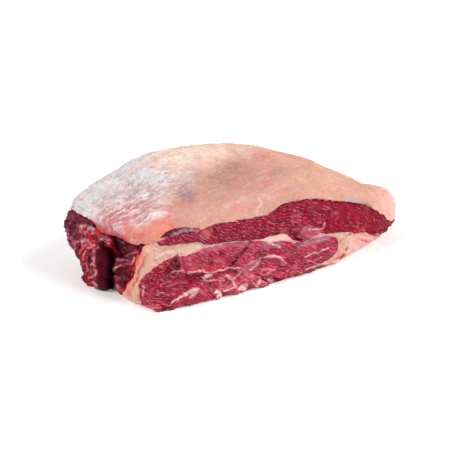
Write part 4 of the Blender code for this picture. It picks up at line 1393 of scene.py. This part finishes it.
def flesh(name, stretch, fibre, depth, scatter, rough, wet, bump, threads, thread_and_crease_shade_colour):
    """Tinted flesh. stretch and fibre size the grain in mm, depth is its contrast and bump its height in mm.
    threads is the range of the grain over which the thread colour sets in, and the most of it. On the cap the
    thread colour is a crease colour, laid as painted shade in the hollows of the fine bump."""
    material = bpy.data.materials.new(name)
    material.use_nodes = True
    tree = material.node_tree
    tree.nodes.clear()
    along_grain = {"Vector": stored_value(tree, "grain", "Vector"), "Scale": (1 / stretch, 1 / fibre, 1)}
    fibres = noise(tree, wired(tree, "ShaderNodeMapping", along_grain).outputs[0], 1, 3, 0.6)
    grit = noise(tree, wired(tree, "ShaderNodeTexCoord").outputs["Object"], GRIT_SCALE, 4, 0.65)
    fleck = min(depth / 2, 0.12)
    shade = spread(tree, fibres, 0.3, 0.7, 1 - depth, 1 + depth)
    speckle = spread(tree, grit, 0.3, 0.7, 1 - fleck, 1 + fleck)
    shading = {0: stored_value(tree, "tint", "Color"), 1: times(tree, shade, speckle)}
    shaded = wired(tree, "ShaderNodeVectorMath", shading, operation="MULTIPLY").outputs[0]
    threaded = spread(tree, fibres, threads[0], threads[1], 0, threads[2])
    shown = times(tree, threaded, stored_value(tree, "marbling_and_crease_shade"))
    colours = {0: shown, 6: shaded, 7: (*thread_and_crease_shade_colour, 1)}
    colour = wired(tree, "ShaderNodeMix", colours, data_type="RGBA").outputs[2]
    relief = wired(tree, "ShaderNodeMath", {0: fibres, 1: 1.0, 2: grit}, operation="MULTIPLY_ADD").outputs[0]
    rise = {"Height": relief, "Distance": bump * MM, "Strength": 0.8}
    bumped = wired(tree, "ShaderNodeBump", rise).outputs[0]
    body = wired(tree, "ShaderNodeBsdfPrincipled", {
        "Base Color": colour, "Roughness": spread(tree, grit, 0.3, 0.7, rough - 0.08, rough + 0.1),
        "Normal": bumped, "Coat Normal": bumped,
        "Coat Weight": times(tree, stored_value(tree, "wetness"), wet), "Coat Roughness": 0.12,
        "Coat IOR": WATER_IOR, "Specular IOR Level": 0.03,
        "Subsurface Weight": scatter, "Subsurface Radius": (1.0, 0.35, 0.2), "Subsurface Scale": 2 * MM,
    })
    wired(tree, "ShaderNodeOutputMaterial", {"Surface": body.outputs[0]})
    return material


print("refractive index of the film:", WATER_IOR)

# %% [markdown]
# ## Four finishes
# The lean is coarse in the grain and moist, the folded end is wettest, the fat hardly shows a grain, and the
# cap's membrane is creased. Each is the same flesh with other values. Then the solid that each piece takes
# the place of is hidden, and every piece is attached to the one rigid body.

# %% Finish the pieces
LEAN_LOOKS = dict(stretch=7, fibre=1.1, depth=0.5, scatter=0.04, rough=0.45, wet=0.22, bump=0.8)
END_LOOKS = dict(stretch=6, fibre=3, depth=0.2, scatter=0.02, rough=0.4, wet=0.5, bump=1.1)
FAT_LOOKS = dict(stretch=5, fibre=2.0, depth=0.07, scatter=0.2, rough=0.45, wet=0.12, bump=0.4)
CAP_LOOKS = dict(stretch=4, fibre=1.6, depth=0.13, scatter=0.12, rough=0.42, wet=0.25, bump=0.9)
lean_flesh = flesh("lean flesh", **LEAN_LOOKS, threads=(0.55, 0.68, 0.6), thread_and_crease_shade_colour=COLOURS["thread"])
end_flesh = flesh("wet lean", **END_LOOKS, threads=(0.62, 0.70, 0.3), thread_and_crease_shade_colour=COLOURS["thread"])
fat_flesh = flesh("fat", **FAT_LOOKS, threads=(0.62, 0.7, 0.4), thread_and_crease_shade_colour=COLOURS["pink fat"])
# on the cap the thread colour is a crease colour: painted shade in the hollows of the fine bump
cap_flesh = flesh("fat cap", **CAP_LOOKS, threads=(0.46, 0.34, 0.55), thread_and_crease_shade_colour=COLOURS["crease"])
FINISH = {"fat_cap": cap_flesh, "seam_fat": fat_flesh, "end_muscle": end_flesh}
for name, piece in pieces.items():
    piece.data.materials.clear()
    piece.data.materials.append(FINISH.get(name, lean_flesh))
    piece.data.shade_smooth()
    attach(piece, "root")
    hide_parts(name)
print("finished", ", ".join(pieces))

# %% [markdown]
# ## Flecks of marbling
# The lean is shot through with short threads of fat that lie along its fibres and glint where the knife
# crossed them. There are about a thousand, all alike, so they are scattered and not placed one by one. A
# thread is a thin bent lens, and a crumb is the same lens, less bent. Curves with a bevel would do too, but
# a lens is closed and has its pointed ends at once.

# %% Thread and crumb
def lens(name, sides, rings, bend):
    """A pointed lens one unit long and one across, bent by that share of its length. It lies along x."""
    points = [(-0.5, bend, 0)]
    for step in np.linspace(-1, 1, rings + 2)[1:-1]:
        wide = 0.5 * math.sqrt(1 - step * step)
        for side in range(sides):
            turn = math.tau * side / sides
            points.append((step / 2, wide * math.cos(turn) + bend * step * step, wide * math.sin(turn)))
    points.append((0.5, bend, 0))
    last = len(points) - 1
    pairs = [(i, (i + 1) % sides) for i in range(sides)]
    faces = [(0, 1 + j, 1 + i) for i, j in pairs]
    for ring in range(rings - 1):
        low = 1 + ring * sides
        faces += [(low + i, low + j, low + sides + j, low + sides + i) for i, j in pairs]
    faces += [(last - sides + i, last - sides + j, last) for i, j in pairs]
    mesh = bpy.data.meshes.new(name)
    mesh.from_pydata(points, [], faces)
    mesh.polygons.foreach_set("use_smooth", [True] * len(faces))
    return bpy.data.objects.new(name, mesh)


thread_shape, crumb_shape = lens("thread", 5, 3, 0.8), lens("crumb", 5, 3, 0.3)
print("a thread has", len(thread_shape.data.polygons), "faces")

# %% [markdown]
# ## A tree that strews
# Fat lies along the fibres, and there is more of it in some places than in others. A particle system could
# strew it, but Geometry Nodes read straight from the surface how dense it is to be and which way the fibres
# run. The tree drops points on the faces, turns a copy of the shape along the fibres at each, and gives each
# its own size.

# %% Scattering tree
SOCKETS = {
    "Geometry": "NodeSocketGeometry", "Shape": "NodeSocketObject", "Density": "NodeSocketFloat",
    "Seed": "NodeSocketInt", "Smallest": "NodeSocketVector", "Largest": "NodeSocketVector",
    "Finish": "NodeSocketMaterial",
}

scatter = bpy.data.node_groups.new("scatter along the grain", "GeometryNodeTree")
for label, kind in SOCKETS.items():
    scatter.interface.new_socket(label, in_out="INPUT", socket_type=kind)
scatter.interface.new_socket("Geometry", in_out="OUTPUT", socket_type="NodeSocketGeometry")
given = scatter.nodes.new("NodeGroupInput").outputs


def named(kind, name):
    return wired(scatter, "GeometryNodeInputNamedAttribute", {"Name": name}, data_type=kind).outputs[0]


dense = times(scatter, given["Density"], named("FLOAT", "strewn"))
strewn = wired(scatter, "GeometryNodeDistributePointsOnFaces", {
    "Mesh": given["Geometry"], "Density": dense, "Seed": given["Seed"],
})
lain = wired(scatter, "FunctionNodeAlignRotationToVector", {
    "Rotation": strewn.outputs["Rotation"], "Vector": named("FLOAT_VECTOR", "fibre"),
}, axis="X", pivot_axis="Z")
sizes = wired(scatter, "FunctionNodeRandomValue", {
    0: given["Smallest"], 1: given["Largest"], "Seed": given["Seed"],
}, data_type="FLOAT_VECTOR")
shape = wired(scatter, "GeometryNodeObjectInfo", {"Object": given["Shape"]})
placed = wired(scatter, "GeometryNodeInstanceOnPoints", {
    "Points": strewn.outputs["Points"], "Instance": shape.outputs["Geometry"],
    "Rotation": lain.outputs[0], "Scale": sizes.outputs[0],
})
real = wired(scatter, "GeometryNodeRealizeInstances", {"Geometry": placed.outputs[0]})
coated = wired(scatter, "GeometryNodeSetMaterial", {"Geometry": real.outputs[0], "Material": given["Finish"]})
scatter.links.new(coated.outputs[0], scatter.nodes.new("NodeGroupOutput").inputs[0])
print("the tree has", len(scatter.nodes), "nodes")

# %% [markdown]
# ## Where fat is strewn
# Threads belong on plain lean, and crumbs where the fat tore along the foot. Both are strewn over a copy of
# the cut front, so that the pieces themselves stay as they are. A cloud thins them out here and there, which
# leaves them in loose groups, as real fat is.

# %% Where fat is strewn
CLEAR_OF_TABLE = 2.5  # mm, so that no crumb reaches the table


def fibre_way(points):
    """The way the fibres run at each point of the front."""
    x, slope = np.array(GRAIN_SLOPE).T
    rise = np.interp(on_front(points)[:, 0], x, slope) + 0.22 * cloud(points[:, ::2], 12, 90)
    return np.column_stack([np.ones(len(points)), np.zeros(len(points)), rise])


def host(name, wanted):
    """The cut front of both muscles and the seam, with how thickly it is to be strewn."""
    shape = bmesh.new()
    for piece in ("upper_muscle", "lower_muscle", "seam_fat"):
        shape.from_mesh(pieces[piece].data)
    away = [face for face in shape.faces if face.normal.y > -0.3]
    bmesh.ops.delete(shape, geom=away, context="FACES")
    mesh = bpy.data.meshes.new(name)
    shape.to_mesh(mesh)
    shape.free()
    ground = bpy.data.objects.new(name, mesh)
    bpy.context.scene.collection.objects.link(ground)
    points = points_of(ground)
    stored(ground, "strewn", "FLOAT", "value", wanted(points, mesh))
    stored(ground, "fibre", "FLOAT_VECTOR", "vector", fibre_way(points))
    return ground


def marbled(points, mesh):
    held = np.empty(len(points), np.float32)
    mesh.attributes["marbling_and_crease_shade"].data.foreach_get("value", held)
    front = on_front(points)
    groups = 0.25 + eased(cloud(front, 11, 91) + 0.6 * cloud(front, 4, 92), -0.2, 0.9)
    return held * (front[:, 1] > 2) * groups


def torn_foot(points, mesh):
    x, z = on_front(points).T
    foot = 1 - eased(z - np.interp(x, [70, 250], [6, 3]), 0, 9)
    near = eased(x, 70, 100) * (1 - eased(x, 250, 262)) * foot
    return near * (points[:, 2] > CLEAR_OF_TABLE) * eased(cloud(points[:, ::2], 9, 93), -0.4, 0.5)


print("fibres rise", fibre_way(np.zeros((1, 3)))[0, 2].round(2), "per length at the corner")

# %% [markdown]
# ## Threads and crumbs
# Each is strewn by the same tree, with its own shape, sizes and fat. Their seeds are fixed, so that every
# run gives the same joint.

# %% Strew threads and crumbs over the cut face
def strew(name, ground, **values):
    """Strews the ground with a shape, and leaves only what was strewn, none of it below the table."""
    modifier = ground.modifiers.new("Strew", "NODES")
    modifier.node_group = scatter
    for item in scatter.interface.items_tree:
        if item.in_out == "INPUT" and item.name in values:
            modifier[item.identifier] = values[item.name]
    ground.update_tag()
    settled(ground)
    points = points_of(ground)
    points[:, 2] = np.maximum(points[:, 2], 0)
    move_to(ground, points)
    ground.name = ground.data.name = name
    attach(ground, "root")
    print(name, len(ground.data.polygons), "faces")
    return ground


def plain_fat(name, colour, rough):
    material = bpy.data.materials.new(name)
    material.use_nodes = True
    body = material.node_tree.nodes["Principled BSDF"]
    looks = {"Base Color": (*colour, 1), "Roughness": rough, "Subsurface Weight": 0.2, "Subsurface Scale": MM}
    for key, value in looks.items():
        body.inputs[key].default_value = value
    return material


thread_fat, crumb_fat = (plain_fat(f"{name} fat", COLOURS[colour], 0.35)
                         for name, colour in (("thread", "thread"), ("crumb", "pink fat")))
strew("marbling_threads", host("cut face", marbled), Shape=thread_shape, Density=85000.0, Seed=5,
      Smallest=(0.0015, 0.00025, 0.0003), Largest=(0.0085, 0.00045, 0.0005), Finish=thread_fat)
strew("fat_crumbs", host("torn foot", torn_foot), Shape=crumb_shape, Density=30000.0, Seed=8,
      Smallest=(0.002, 0.0006, 0.0006), Largest=(0.009, 0.0016, 0.0014), Finish=crumb_fat)

# %% [markdown]
# ## Table
# A plain white table shows the meat's colours as they are, and it sends soft light back up into the cut
# face. It could be lit to white by the lamps alone, but then they would be too bright for the fat. So it
# glows a little.

# %% Table
def slab(name, size):
    """A square white table top that many metres wide, which glows a little."""
    mesh = bpy.data.meshes.new(name)
    half = size / 2
    corners = [(-half, -half, 0), (half, -half, 0), (half, half, 0), (-half, half, 0)]
    mesh.from_pydata(corners, [], [(0, 1, 2, 3)])
    floor = bpy.data.objects.new(name, mesh)
    bpy.context.scene.collection.objects.link(floor)
    paint = bpy.data.materials.new("table white")
    paint.use_nodes = True
    body = paint.node_tree.nodes["Principled BSDF"]
    looks = {"Base Color": (0.93, 0.93, 0.93, 1), "Roughness": 0.7, "Emission Color": (1, 1, 1, 1),
             "Emission Strength": 0.2}
    for key, value in looks.items():
        body.inputs[key].default_value = value
    mesh.materials.append(paint)
    return floor


slab("table", 12)
print("table set")

# %% [markdown]
# ## Light
# A big soft key from the front shows the cut face without hard shadows. Wet meat also needs small bright
# sources to mirror, so the fill is narrow, and a faint low rim light from the left draws the glints. Area
# lamps would do as well, but suns need no distance and light the whole joint evenly.

# %% Light
def sunlight(name, towards, degrees, strength):
    """Light from far off, from the direction `towards`, out of a source that many degrees across."""
    light = bpy.data.lights.new(name, "SUN")
    light.angle, light.energy = math.radians(degrees), strength
    lamp = bpy.data.objects.new(name, light)
    bpy.context.scene.collection.objects.link(lamp)
    back = np.array(towards, float) / np.linalg.norm(towards)
    side = np.cross([0, 0, 1], back)
    side /= np.linalg.norm(side)
    turned = Matrix(np.column_stack([side, np.cross(back, side), back]).tolist()).to_4x4()
    lamp.matrix_world = Matrix.Translation(back.tolist()) @ turned
    return lamp


sunlight("key", (0.7, -0.8, 0.95), 28, 2.0)
sunlight("fill", (-0.85, -0.1, 0.85), 9, 1.1)
sunlight("rim", (-0.887, 0.12, 0.40), 5, 0.45)
world = bpy.data.worlds.new("studio")
world.use_nodes = True
world.node_tree.nodes["Background"].inputs["Color"].default_value = (1, 1, 1, 1)
world.node_tree.nodes["Background"].inputs["Strength"].default_value = 0.48
bpy.context.scene.world = world
bpy.context.scene.view_settings.view_transform = "Standard"
print("three lights and the world are set")
